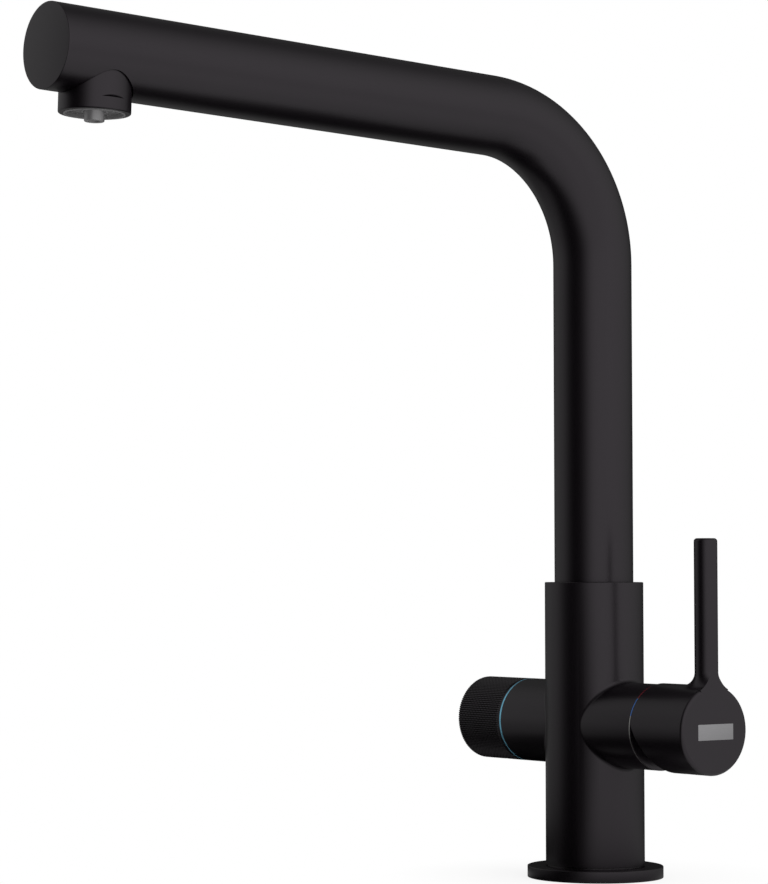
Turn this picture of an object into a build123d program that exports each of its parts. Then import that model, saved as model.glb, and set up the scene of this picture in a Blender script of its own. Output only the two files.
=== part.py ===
from build123d import *
import math
import os

# Filtered water kitchen tap: a swivelling L-shaped spout on a round column, a mixer
# lever on the right (+X), a filtered water knob on the left (-X), the spout towards -Y.
# The origin is the centre of the base on the worktop. All lengths are millimetres.

# Clearances
fixed_gap = 0.05        # between pieces that are pressed, screwed or glued together
running_gap = 0.08      # radial, between a turning piece and its bore
slide_gap = 0.02        # between two polished ceramic faces
turning_gap = 0.25      # between a turning cover and the ring it faces

# Flange and seal on the worktop
flange_radius = 25.75
flange_height = 4.3
flange_edge = 0.5
seal_inner = 19.6
seal_width = 3.8
seal_height = 1.8

# Body, the round column that carries both controls
body_radius = 18.75
body_top = 111.7
body_edge = 0.35
neck_depth = 0.65       # the shadow gap above the flange
neck_height = 0.6
spigot_radius = 16.9    # the foot of the body, inside the flange
control_height = 58.0   # height of both control axes
arm_radius = 16.0
mixer_arm = 36.6        # from the column axis to the end of each arm
filter_arm = 36.6

# Supply sockets and the fixing stud, from below
stud_radius = 3.4       # M8 core
stud_depth = 14.0
inlet_radius = 4.5      # M10 x 1 core
inlet_depth = 12.0
inlet_circle = 11.2
inlet_angles = {"cold": -60.0, "hot": 60.0, "filtered": 180.0}
channel_radius = 2.5
mixed_radius = 2.0

# Spout tube
tube_radius = 15.0
tube_wall = 1.4
corner_height = 285.0   # where the two tube axes meet
bend_radius = 53.5
spout_length = 245.0    # from the column axis to the flat end, along the spout
spout_rise = 1.8        # degrees
cap_thickness = 1.5
cap_plug = 2.5

# Swivel of the spout in the body
socket_gap = 0.35       # dark line round the tube where it enters the body
socket_depth = 3.4
bearing_height = 1.4
swivel_step = 2.1       # from the tube's outside in to the spigot that turns in the body
swivel_length = 25.7    # from its foot to its shoulder
swivel_wall = 3.2
spigot_grip = 16.0      # length held inside the tube
o_ring_section = 2.2
groove_depth = 1.5
lock_height = 16.9      # of the retaining screw, above the spigot's foot
lock_tip = 1.8
lock_radius = 2.5
swivel_reach = 75.0     # degrees each way

# Filtered water tube inside the spout
inner_tube_radius = 3.0
inner_tube_wall = 0.9
inner_tube_depth = 12.0  # below the swivel bore
inner_groove_depth = 0.9
inner_bend = 44.0
inner_elbow = 8.0

# Outlet under the end of the spout
outlet_setback = 20.0
collar_radius = 12.5
collar_gap = 0.5        # dark line between the collar and the tube
collar_drop = 5.5       # below the tube
collar_height = 14.0
collar_edge = 1.0
collar_wall = 1.5
thread_radius = 10.5
key_slot_height = 0.9
key_slot_depth = 0.45
key_slot_lift = 4.9     # from the collar's lower rim up to the middle of the slot
insert_height = 10.6
insert_recess = 0.3
washer_height = 0.5
outlet_slots = 24
slot_width = 0.9
nozzle_radius = 3.75
nozzle_drop = 2.8       # below the collar
nozzle_bore = 2.2

# Mixer cartridge, measured along its axis from the column axis
cartridge_seat = 9.0
cartridge_radius = 12.5
cartridge_wall = 1.5
cartridge_base = 3.5
cartridge_top = 33.0
port_radius = 2.3
port_offset = 7.0
disc_thickness = 2.45
driver_height = 5.2
rail_width = 2.8
carrier_rim = 4.0
carrier_neck_radius = 8.65
carrier_top = 35.0
lever_pivot = 29.0
pivot_pin_radius = 1.5
spindle_width = 7.0
spindle_end = 56.0
ball_radius = 2.4
spindle_arm = 1.4       # radius of the arm that carries the ball
ball_gap = 0.15         # to the slot that the ball pushes
lever_travel = 25.0     # degrees, closed to fully open
nut_height = 3.35
nut_bore = 9.3
nut_slots = 4

# Coloured rings between the arms and the controls
ring_thickness = 0.8
ring_inner = 12.8

# Mixer handle
handle_radius = 16.4
handle_face = 65.2
handle_wall = 2.3
handle_front = 4.0
handle_edge = 1.0
boss_radius = 9.0
boss_start = 44.0
lever_top = 128.0
lever_radius = 4.3
lever_place = 61.1      # from the column axis to the lever's axis
lever_edge = 1.2
lever_fillet = 6.0      # the hollow blend round the lever's root
grub_radius = 2.4
grub_length = 5.0
grub_place = 53.2

# Filter valve, measured along its axis from the column axis
valve_seat = 15.0
valve_radius = 9.5
valve_wall = 1.9
valve_seal = 1.2
valve_disc = 2.2
valve_land = 1.0        # from a disc's middle to the sides of its ports
valve_flange = 24.0
valve_flange_height = 4.5
valve_across_flats = 22.0
valve_neck_radius = 7.2
valve_neck_end = 40.0
stem_radius = 4.0
stem_foot = 2.6
stem_end = 55.0
stem_flat = 0.9
knob_radius = 16.0
knob_end = 62.5
knob_wall = 2.2
knob_front = 3.5
knob_boss_radius = 8.0
knob_boss_start = 42.0
knob_grub_place = 49.0
knob_edge = 0.4

# Worked out from the sizes above
swivel_radius = tube_radius - swivel_step
collar_bottom = tube_radius + collar_drop       # below the spout's axis, as the next one
collar_top = collar_bottom - collar_height
swivel_foot = body_top - socket_depth + bearing_height + fixed_gap - swivel_length
bearing_low = body_top - socket_depth
tube_foot = bearing_low + bearing_height + fixed_gap
tube_bore = tube_radius - tube_wall
rise = math.radians(spout_rise)
spout_way = Vector(0, -math.cos(rise), math.sin(rise))
spout_down = Vector(0, -math.sin(rise), -math.cos(rise))
corner = Vector(0, 0, corner_height)
spout_tip = corner + spout_way * spout_length
outlet_place = spout_tip - spout_way * outlet_setback
mixer_ring_face = mixer_arm + ring_thickness
filter_ring_face = filter_arm + ring_thickness
upright = (Align.CENTER, Align.CENTER, Align.MIN)

# Local frames, whose +Z runs along a control, down the outlet or along the lock screw
mixer = Plane(origin=(0, 0, control_height), x_dir=(0, 1, 0), z_dir=(1, 0, 0))
filtered = Plane(origin=(0, 0, control_height), x_dir=(0, -1, 0), z_dir=(-1, 0, 0))
outlet = Plane(origin=outlet_place, x_dir=(1, 0, 0), z_dir=spout_down)


def rod(radius, low, high):
    """A round bar on the local Z axis."""
    return Pos(0, 0, low) * Cylinder(radius, high - low, align=upright)


def tube(outer, inner, low, high):
    """A round tube on the local Z axis."""
    return rod(outer, low, high) - rod(inner, low, high)


def bar(width, depth, low, high):
    """A square bar on the local Z axis, width along X and depth along Y."""
    return Pos(0, 0, low) * Box(width, depth, high - low, align=upright)


def o_ring(outer, inner, low, high):
    """A rubber ring of rounded section, squeezed into its groove."""
    section = Ellipse((outer - inner) / 2, (high - low) / 2)
    return revolve(Plane.XZ * Pos((outer + inner) / 2, (low + high) / 2) * section, Axis.Z)


def turned(*outline):
    """A solid of revolution from (radius, height) points."""
    edge = Polyline(*[(radius, 0, height) for radius, height in outline], close=True)
    return revolve(make_face(edge), Axis.Z)


def on_circle(radius, angle):
    """A place on a circle about the local Z axis."""
    turn = math.radians(angle)
    return Pos(radius * math.cos(turn), radius * math.sin(turn), 0)


def spout_path(start, end, bend):
    """The column axis from a height, round the bend and out along the spout."""
    return FilletPolyline((0, 0, start), corner, end, radius=bend)


def swept(radius, path):
    """A round bar along a path."""
    return sweep(Plane(origin=path @ 0, z_dir=path % 0) * Circle(radius), path)


def base_flange():
    groove_outer = seal_inner + seal_width + fixed_gap
    groove = tube(groove_outer, seal_inner - fixed_gap, 0, seal_height + fixed_gap)
    plate = turned(
        (spigot_radius + fixed_gap, 0),
        (flange_radius, 0),
        (flange_radius, flange_height - flange_edge),
        (flange_radius - flange_edge, flange_height),
        (spigot_radius + fixed_gap, flange_height),
    )
    return plate - groove


def base_seal():
    return tube(seal_inner + seal_width, seal_inner, 0, seal_height)


def body_outside():
    neck = body_radius - neck_depth
    foot = flange_height + neck_height
    column = turned(
        (0, 0),
        (spigot_radius, 0),
        (spigot_radius, flange_height),
        (neck, flange_height),
        (neck, foot),
        (body_radius, foot),
        (body_radius, body_top - body_edge),
        (body_radius - body_edge, body_top),
        (0, body_top),
    )
    arms = mixer * rod(arm_radius, 0, mixer_arm) + filtered * rod(arm_radius, 0, filter_arm)
    return column + arms


def swivel_bore():
    """The socket for the spout, with its bearing step and the inner tube's socket."""
    inner_socket = inner_tube_radius + fixed_gap
    groove = inner_socket + inner_groove_depth
    bore = rod(swivel_radius + running_gap, swivel_foot - 2 * fixed_gap - bearing_height, body_top)
    seat = rod(tube_radius + socket_gap, bearing_low, body_top)
    low = swivel_foot - inner_tube_depth
    inner = rod(inner_socket, low - 2 * fixed_gap, swivel_foot)
    ring_low = swivel_foot - 2 * o_ring_section - bearing_height
    inner_groove = tube(groove, inner_socket, ring_low, ring_low + o_ring_section + 2 * fixed_gap)
    screw = lock_axis() * rod(lock_radius, 0, body_radius)
    return bore + seat + inner + inner_groove + screw


def lock_axis():
    """The retaining screw's axis, from the column axis out through the back."""
    return Plane(origin=(0, 0, swivel_foot + lock_height), z_dir=(0, 1, 0))


def mixer_bore():
    """The cartridge's socket and the ways that lead to it and up to the spout."""
    pocket = rod(cartridge_radius + fixed_gap, cartridge_seat, mixer_arm)
    thread = rod(thread_of_nut() + fixed_gap, cartridge_top, mixer_arm)
    ways = mixer * (pocket + thread)
    for name in ("cold", "hot"):
        riser = on_circle(inlet_circle, inlet_angles[name])
        side = math.copysign(port_offset, inlet_angles[name])
        across = rod(channel_radius, cartridge_seat / 2, cartridge_seat + fixed_gap)
        ways += riser * rod(channel_radius, inlet_depth - fixed_gap, control_height)
        ways += mixer * Pos(side, 0, 0) * across
    mixed_x = cartridge_seat - mixed_radius - fixed_gap
    mixed_z = control_height + port_offset
    ways += Pos(mixed_x, 0, 0) * rod(mixed_radius, mixed_z, swivel_foot)
    outflow = rod(mixed_radius + fixed_gap, mixed_x, cartridge_seat + fixed_gap)
    ways += mixer * Pos(0, port_offset, 0) * outflow
    return ways


def filter_bore():
    """The filter valve's socket and the ways from its inlet and to the inner tube."""
    pocket = rod(valve_radius + fixed_gap, valve_seat, valve_flange)
    recess = rod(valve_across_flats / math.sqrt(3) + 2 * turning_gap, valve_flange, filter_arm)
    feed = rod(channel_radius, inlet_circle, valve_seat + fixed_gap)
    ways = filtered * (pocket + recess + feed)
    ways += on_circle(inlet_circle, inlet_angles["filtered"]) * rod(
        channel_radius - fixed_gap, inlet_depth - fixed_gap, control_height
    )
    outflow = valve_window_place()
    inner_low = swivel_foot - inner_tube_depth
    ways += filtered * Pos(0, 0, outflow) * Rot(-90, 0, 0) * rod(
        channel_radius / 2, 0, inner_low - control_height
    )
    ways += Pos(0, 0, inner_low) * Rot(0, -90, 0) * rod(channel_radius / 2, 0, outflow + channel_radius / 2)
    return ways


def thread_of_nut():
    """The cartridge nut's outer radius, midway between the cartridge and the arm's outside."""
    return (cartridge_radius + arm_radius) / 2


def tap_body():
    sockets = rod(stud_radius, 0, stud_depth)
    for angle in inlet_angles.values():
        sockets += on_circle(inlet_circle, angle) * rod(inlet_radius, 0, inlet_depth)
    return body_outside() - sockets - swivel_bore() - mixer_bore() - filter_bore()


def bearing_ring():
    inner = swivel_radius + running_gap
    outer = tube_radius + socket_gap - fixed_gap
    return tube(outer, inner, bearing_low, bearing_low + bearing_height)


def lock_screw():
    """A grub screw through the back of the body, its tip in the spigot's groove."""
    tip = swivel_radius - groove_depth + running_gap
    start = swivel_radius + running_gap + fixed_gap
    end = body_radius - body_edge
    socket = extrude(Plane.XY.offset(end - lock_radius) * RegularPolygon(lock_radius / 2, 6), lock_radius)
    screw = rod(lock_tip, tip, start) + rod(lock_radius - fixed_gap, start, end) - socket
    return lock_axis() * screw


def filter_tube_seal():
    inner_socket = inner_tube_radius + fixed_gap
    low = swivel_foot - 2 * o_ring_section - bearing_height + fixed_gap
    return o_ring(inner_socket + inner_groove_depth - fixed_gap, inner_socket, low, low + o_ring_section)


def spout_tube():
    end = spout_tip - spout_way * cap_thickness
    path = spout_path(tube_foot, end, bend_radius)
    hole = outlet * rod(collar_radius + collar_gap, 0, tube_radius + tube_wall)
    return swept(tube_radius, path) - swept(tube_bore, path) - hole


def spout_end_cap():
    edge = flange_edge
    cap = turned(
        (0, 0),
        (tube_radius - edge, 0),
        (tube_radius, edge),
        (tube_radius, cap_thickness),
        (tube_bore - fixed_gap, cap_thickness),
        (tube_bore - fixed_gap, cap_thickness + cap_plug),
        (0, cap_thickness + cap_plug),
    )
    return Plane(origin=spout_tip, x_dir=(1, 0, 0), z_dir=-spout_way) * cap


def ring_places():
    """Heights of the two O-ring grooves above the spigot's foot."""
    return (2 * o_ring_section, 4 * o_ring_section)


def spout_spigot():
    """The brass spigot in the tube's foot, with its seal grooves and the swivel stop."""
    shoulder = swivel_foot + swivel_length
    inner = swivel_radius - swivel_wall
    spigot = tube(swivel_radius, inner, swivel_foot, shoulder)
    spigot += tube(tube_bore - fixed_gap, inner, shoulder, shoulder + spigot_grip)
    for place in ring_places():
        low = swivel_foot + place
        spigot -= tube(swivel_radius + fixed_gap, swivel_radius - groove_depth, low, low + o_ring_section)
    half_width = lock_tip + running_gap
    spare = math.degrees(math.asin((half_width + running_gap) / (swivel_radius - groove_depth)))
    arc = 2 * (swivel_reach + spare)
    low = swivel_foot + lock_height - half_width
    channel = Plane.XZ * Pos(swivel_radius - groove_depth / 2, low + half_width) * Rectangle(
        groove_depth + 2 * fixed_gap, 2 * half_width
    )
    stop = revolve(channel, Axis.Z, revolution_arc=arc)
    return spigot - Rot(0, 0, 90 - arc / 2) * stop


def spout_o_rings():
    inner = swivel_radius - groove_depth + fixed_gap
    outer = swivel_radius + running_gap / 2
    rings = []
    for place in ring_places():
        low = swivel_foot + place + fixed_gap
        rings.append(o_ring(outer, inner, low, low + o_ring_section - 2 * fixed_gap))
    return Compound(children=rings)


def filter_tube():
    """The tube that keeps filtered water apart, from the body to the outlet nozzle."""
    low = swivel_foot - inner_tube_depth
    end = outlet_place + spout_down * (collar_bottom - insert_height - insert_recess + inner_tube_radius)
    path = FilletPolyline(
        (0, 0, low), corner, outlet_place, end, radius=[inner_bend, inner_elbow]
    )
    return swept(inner_tube_radius, path) - swept(inner_tube_radius - inner_tube_wall, path)


def aerator_socket():
    """The threaded seat brazed inside the tube, slotted for the filtered water tube."""
    block = rod(collar_radius, -2 * tube_wall, collar_top - fixed_gap)
    block -= rod(thread_radius + fixed_gap, -tube_radius, tube_radius)
    half = inner_tube_radius + running_gap
    slot = Box(2 * half, tube_radius, tube_radius, align=(Align.CENTER, Align.MAX, Align.MAX))
    block -= Pos(0, 0, half) * slot
    return outlet * block & swept(tube_bore - fixed_gap, spout_path(tube_foot, spout_tip, bend_radius))


def aerator_collar():
    """The visible collar, with a key slot in each side and a rounded lower rim."""
    bore = collar_radius - collar_wall
    ledge = collar_bottom - insert_height - insert_recess - washer_height - 2 * fixed_gap
    collar = turned(
        (thread_radius - collar_wall, inner_tube_radius + turning_gap),
        (thread_radius, inner_tube_radius + turning_gap),
        (thread_radius, collar_top),
        (collar_radius, collar_top),
        (collar_radius, collar_bottom - collar_edge),
        (collar_radius - collar_edge, collar_bottom),
        (bore, collar_bottom),
        (bore, ledge),
        (thread_radius - collar_wall, ledge),
    )
    for side in (-1, 1):
        slot = Box(2 * key_slot_depth, 2 * collar_radius, key_slot_height)
        collar -= Pos(side * collar_radius, 0, collar_bottom - key_slot_lift) * slot
    return outlet * collar


def aerator_insert():
    """The outlet plate: a cup with radial slots round the nozzle's hole."""
    outer = collar_radius - collar_wall - fixed_gap
    inner = nozzle_radius + fixed_gap
    low = collar_bottom - insert_recess - insert_height
    high = collar_bottom - insert_recess
    plate = collar_wall
    insert = tube(outer, inner, low, high) - tube(outer - plate, inner + plate, low, high - plate)
    long = outer - inner - 3 * plate
    for index in range(outlet_slots):
        slot = Box(long, slot_width, 2 * plate, align=(Align.CENTER, Align.CENTER, Align.CENTER))
        insert -= Rot(0, 0, index * 360 / outlet_slots) * Pos((outer + inner) / 2, 0, high) * slot
    return outlet * insert


def aerator_washer():
    high = collar_bottom - insert_recess - insert_height - fixed_gap
    outer = collar_radius - collar_wall - fixed_gap
    return outlet * tube(outer, thread_radius - collar_wall, high - washer_height, high)


def filter_nozzle():
    """The central nozzle, which takes the filtered water tube in its upper end."""
    top = collar_bottom - insert_recess - insert_height
    bottom = collar_bottom + nozzle_drop
    lip = (nozzle_radius - nozzle_bore) / 3
    nozzle = turned(
        (nozzle_bore, top),
        (nozzle_radius, top),
        (nozzle_radius, bottom - lip),
        (nozzle_radius - lip, bottom),
        (nozzle_bore, bottom),
    )
    return outlet * (nozzle - rod(inner_tube_radius + fixed_gap, top, top + inner_tube_radius + fixed_gap))


def port_places():
    """Centres of the cold, hot and mixed ports about the cartridge axis."""
    return (Pos(-port_offset, 0, 0), Pos(port_offset, 0, 0), Pos(0, port_offset, 0))


def cartridge_housing():
    low = cartridge_seat + fixed_gap
    floor = low + cartridge_base
    inner = cartridge_radius - cartridge_wall
    shoulder = carrier_low() + carrier_rim + fixed_gap
    housing = turned(
        (0, low),
        (cartridge_radius, low),
        (cartridge_radius, cartridge_top),
        (carrier_neck_radius + running_gap, cartridge_top),
        (carrier_neck_radius + running_gap, shoulder),
        (inner, shoulder),
        (inner, floor),
        (0, floor),
    )
    for place in port_places():
        housing -= place * rod(port_radius, low, floor)
        housing -= place * rod(port_radius + fixed_gap + port_ring_width(), low, low + cartridge_base / 2)
    return mixer * housing


def port_ring_width():
    """Radial width of the small seals round the cartridge's ports."""
    return (cartridge_radius - port_offset - port_radius) / 3


def cartridge_seals():
    low = cartridge_seat
    rings = []
    for place in port_places():
        ring = tube(port_radius + port_ring_width(), port_radius, low, low + cartridge_base / 2)
        rings.append(mixer * place * ring)
    return Compound(children=rings)


def fixed_disc_low():
    return cartridge_seat + cartridge_base + 2 * fixed_gap


def moving_disc_low():
    return fixed_disc_low() + disc_thickness + slide_gap


def driver_low():
    return moving_disc_low() + disc_thickness


def carrier_low():
    return driver_low() + driver_height + running_gap


def ball_place():
    """Distance of the spindle's ball from the column axis."""
    return driver_low() + ball_radius + running_gap


def disc_travel():
    """How far the moving disc slides between closed and fully open."""
    return (lever_pivot - ball_place()) * math.sin(math.radians(lever_travel))


def cartridge_fixed_disc():
    radius = cartridge_radius - cartridge_wall - fixed_gap
    disc = rod(radius, fixed_disc_low(), fixed_disc_low() + disc_thickness)
    for place in port_places():
        disc -= place * rod(port_radius, fixed_disc_low(), fixed_disc_low() + disc_thickness)
    return mixer * disc


def sliding_radius():
    """The moving disc's radius, which leaves it room to slide to either side."""
    return cartridge_radius - cartridge_wall - disc_travel() / 2 - turning_gap


def cartridge_moving_disc():
    """The disc that slides and turns, with the mixing pocket in its lower face."""
    low = moving_disc_low()
    disc = rod(sliding_radius(), low, low + disc_thickness)
    pocket = rod(port_offset - port_radius, low, low + disc_thickness / 2)
    return mixer * Pos(0, -disc_travel() / 2, 0) * (disc - pocket)


def rail_face():
    """Half the distance between the carrier's rails, which guide the driver."""
    return cartridge_radius - cartridge_wall - rail_width


def cartridge_driver():
    """The plastic driver on the moving disc, with a slot for the spindle's ball."""
    low = driver_low()
    high = low + driver_height
    between_rails = bar(2 * (rail_face() - running_gap), 4 * cartridge_radius, low, high)
    driver = Pos(0, -disc_travel() / 2, 0) * (rod(sliding_radius(), low, high) & between_rails)
    slot = 2 * (ball_radius + ball_gap)
    return mixer * (driver - bar(slot, slot, low, high))


def cartridge_carrier():
    """The part that turns in the housing, holds the pivot pin and guides the driver."""
    rim = cartridge_radius - cartridge_wall - running_gap
    low = carrier_low()
    carrier = rod(rim, low, low + carrier_rim) + rod(carrier_neck_radius, low, carrier_top)
    rails_low = low - driver_height
    rails = rod(rim, rails_low, low) - bar(2 * rail_face(), 4 * rim, rails_low, low)
    tilt = math.radians(lever_travel)
    half = spindle_width / 2 / math.cos(tilt)
    down = (carrier_top - lever_pivot) * math.tan(tilt) + half + running_gap
    up = disc_travel() + ball_radius + running_gap
    window = Box(
        spindle_width + 2 * running_gap,
        up + down,
        carrier_top - low,
        align=(Align.CENTER, Align.MIN, Align.MIN),
    )
    carrier = carrier + rails - Pos(0, -down, low) * window
    return mixer * (carrier - pivot_bar(fixed_gap, carrier_neck_radius))


def pivot_bar(gap, half_length):
    """The cross pin's space, across the cartridge."""
    across = Plane(origin=(-half_length, 0, lever_pivot), z_dir=(1, 0, 0))
    return across * rod(pivot_pin_radius + gap, 0, 2 * half_length)


def cartridge_pivot_pin():
    return mixer * pivot_bar(0, carrier_neck_radius - cartridge_wall / 2)


def cartridge_spindle():
    """The square spindle from the handle to the ball that moves the discs."""
    shank_low = lever_pivot - spindle_width / 2
    shank = bar(spindle_width, spindle_width, shank_low, spindle_end)
    shank = chamfer(shank.edges().filter_by(Axis.Z), spindle_width / 10)
    arm = rod(spindle_arm, ball_place(), shank_low)
    ball = Pos(0, 0, ball_place()) * Sphere(ball_radius)
    return mixer * (shank + arm + ball - pivot_bar(running_gap, spindle_width))


def cartridge_nut():
    low = cartridge_top + fixed_gap
    high = low + nut_height
    nut = tube(thread_of_nut(), nut_bore, low, high)
    depth = nut_height / 2
    reach = nut_bore / 2 + 2 * (thread_of_nut() - nut_bore) / 3
    notch_place = Pos(nut_bore / 2, 0, high)
    for index in range(nut_slots):
        notch = Box(reach, 3 * slot_width, 2 * depth, align=(Align.MIN, Align.CENTER, Align.CENTER))
        nut -= Rot(0, 0, (index + 0.5) * 360 / nut_slots) * notch_place * notch
    return mixer * nut


def temperature_ring():
    return mixer * tube(arm_radius, ring_inner, mixer_arm, mixer_ring_face)


def filter_ring():
    return filtered * tube(arm_radius, ring_inner, filter_arm, filter_ring_face)


def blended_lever():
    """The round lever with a hollow blend round its root, flush with the cup's flat front."""
    reach = lever_radius + 2 * lever_fillet
    top = lever_top - control_height
    barrel = rod(handle_radius - fixed_gap, lever_place - reach, lever_place + reach)
    stick = Pos(0, 0, lever_place) * Rot(-90, 0, 0) * rod(lever_radius, 0, top)
    stick = fillet(stick.edges().group_by(Axis.Y)[-1], lever_edge)
    lever = barrel + stick
    lever = fillet(new_edges(barrel, stick, combined=lever), lever_fillet)
    root_width = 2 * lever_radius + 0.8 * lever_fillet
    root_foot = handle_radius - handle_wall
    kept = Pos(0, (root_foot + top) / 2, (lever_place - reach + handle_face) / 2) * Box(
        root_width, top - root_foot + 2 * fixed_gap, handle_face - lever_place + reach
    )
    return lever & kept


def mixer_handle():
    """The cup over the cartridge with its flat front, upright lever and inner boss."""
    back = mixer_ring_face + turning_gap
    cup = turned(
        (0, back),
        (handle_radius, back),
        (handle_radius, handle_face - handle_edge),
        (handle_radius - handle_edge, handle_face),
        (0, handle_face),
    )
    handle = cup + blended_lever()
    handle -= rod(handle_radius - handle_wall, back, handle_face - handle_front)
    handle += rod(boss_radius, boss_start, handle_face - handle_front)
    socket = spindle_width + 2 * fixed_gap
    handle -= bar(socket, socket, boss_start, spindle_end + fixed_gap)
    handle -= tilt_relief(back)
    screw_way = Rot(90, 0, 0) * rod(grub_radius + fixed_gap, 0, handle_radius + lever_edge)
    return mixer * (handle - Pos(0, 0, grub_place) * screw_way)


def tilt_relief(back):
    """The slanted cut that lets the cup's lower rim swing towards the ring."""
    reach = back - lever_pivot
    turn = math.radians(lever_travel)
    start = reach * math.tan(turn / 2)
    drop = 3 * handle_radius
    wedge = make_face(
        Polyline(
            (back, start),
            (back + (start + drop) * math.tan(turn), -drop),
            (back - drop, -drop),
            (back - drop, start),
            close=True,
        )
    )
    side = Plane(origin=(-2 * handle_radius, 0, 0), x_dir=(0, 0, 1), z_dir=(-1, 0, 0))
    return side * extrude(wedge, -4 * handle_radius)


def handle_screw():
    start = spindle_width / 2 + 2 * fixed_gap
    return mixer * Pos(0, 0, grub_place) * Rot(90, 0, 0) * grub(start)


def grub(start):
    """A headless screw with a hexagon socket in its outer end."""
    end = start + grub_length
    hexagon = RegularPolygon(grub_radius / 2, 6)
    socket = extrude(Plane.XY.offset(end - grub_length / 2) * hexagon, grub_length)
    return rod(grub_radius, start, end) - socket


def valve_disc_low():
    return valve_seat + valve_seal


def valve_window_place():
    """Where filtered water leaves the valve's barrel, beside its moving disc."""
    return valve_disc_low() + 3 * valve_disc / 2 + slide_gap


def stem_foot_low():
    return valve_disc_low() + 2 * valve_disc + slide_gap


def filter_valve_housing():
    """The brass headwork: threaded barrel, hexagon flange and guide for the stem."""
    low = valve_seat + valve_seal / 2
    inner = valve_radius - valve_wall
    roof = stem_foot_low() + stem_foot + fixed_gap
    hexagon = RegularPolygon(valve_across_flats / 2, 6, major_radius=False)
    top = valve_flange + valve_flange_height
    housing = rod(valve_radius, low, valve_flange)
    housing += extrude(Plane.XY.offset(valve_flange) * hexagon, valve_flange_height)
    housing += rod(valve_neck_radius, top, valve_neck_end)
    housing -= rod(inner, low, roof)
    housing -= rod(stem_radius + running_gap, low, valve_neck_end)
    window = Box(2 * channel_radius, 4 * valve_radius, valve_disc)
    return filtered * (housing - Pos(0, 0, valve_window_place()) * window)


def filter_valve_seal():
    outer = valve_radius - valve_wall - fixed_gap
    return filtered * tube(outer, channel_radius, valve_seat, valve_seat + valve_seal - fixed_gap)


def half_port(low):
    """A sector hole, as in the discs of a quarter-turn valve."""
    radius = valve_radius - 2 * valve_wall
    side = 2 * (radius - valve_land)
    sector = Circle(radius) & Pos(radius, radius) * Rectangle(side, side)
    other = Rot(0, 0, 180) * sector
    return extrude(Plane.XY.offset(low) * (sector + other), valve_disc)


def filter_fixed_disc():
    low = valve_disc_low()
    disc = rod(valve_radius - valve_wall - fixed_gap, low, low + valve_disc)
    return filtered * (disc - half_port(low))


def filter_moving_disc():
    low = valve_disc_low() + valve_disc + slide_gap
    disc = rod(valve_radius - valve_wall - running_gap, low, low + valve_disc)
    return filtered * (disc - Rot(0, 0, 90) * half_port(low))


def stem_groove_low():
    return valve_neck_end - 3 * o_ring_section


def filter_stem():
    """The stem between the knob and the moving disc, flat where the knob grips it."""
    foot_top = stem_foot_low() + stem_foot
    stem = rod(valve_radius - valve_wall - running_gap, stem_foot_low(), foot_top)
    stem += rod(stem_radius, foot_top, stem_end)
    low = stem_groove_low()
    stem -= tube(stem_radius + fixed_gap, stem_radius - groove_depth, low, low + o_ring_section)
    flat = Box(4 * stem_radius, stem_radius, stem_end, align=(Align.CENTER, Align.MAX, Align.MIN))
    return filtered * (stem - Pos(0, stem_flat - stem_radius, knob_boss_start) * flat)


def filter_stem_seal():
    low = stem_groove_low() + fixed_gap
    outer = stem_radius + running_gap / 2
    inner = stem_radius - groove_depth + fixed_gap
    return filtered * o_ring(outer, inner, low, low + o_ring_section - 2 * fixed_gap)


def filter_knob():
    """The cup that turns the filter valve, over the end of the left arm."""
    back = filter_ring_face + turning_gap
    knob = turned(
        (0, back),
        (knob_radius, back),
        (knob_radius, knob_end - knob_edge),
        (knob_radius - knob_edge, knob_end),
        (0, knob_end),
    )
    knob -= rod(knob_radius - knob_wall, back, knob_end - knob_front)
    knob += rod(knob_boss_radius, knob_boss_start, knob_end - knob_front)
    bore = rod(stem_radius + fixed_gap, knob_boss_start, stem_end + fixed_gap)
    bore -= Pos(0, stem_flat - stem_radius - fixed_gap, 0) * Box(
        4 * stem_radius, stem_radius, 4 * stem_end, align=(Align.CENTER, Align.MAX, Align.CENTER)
    )
    screw_way = Rot(90, 0, 0) * rod(grub_radius + fixed_gap, 0, 2 * knob_radius)
    return filtered * (knob - bore - Pos(0, 0, knob_grub_place) * screw_way)


def filter_knob_screw():
    start = stem_radius - stem_flat + 2 * fixed_gap
    return filtered * Pos(0, 0, knob_grub_place) * Rot(90, 0, 0) * grub(start)


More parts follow.
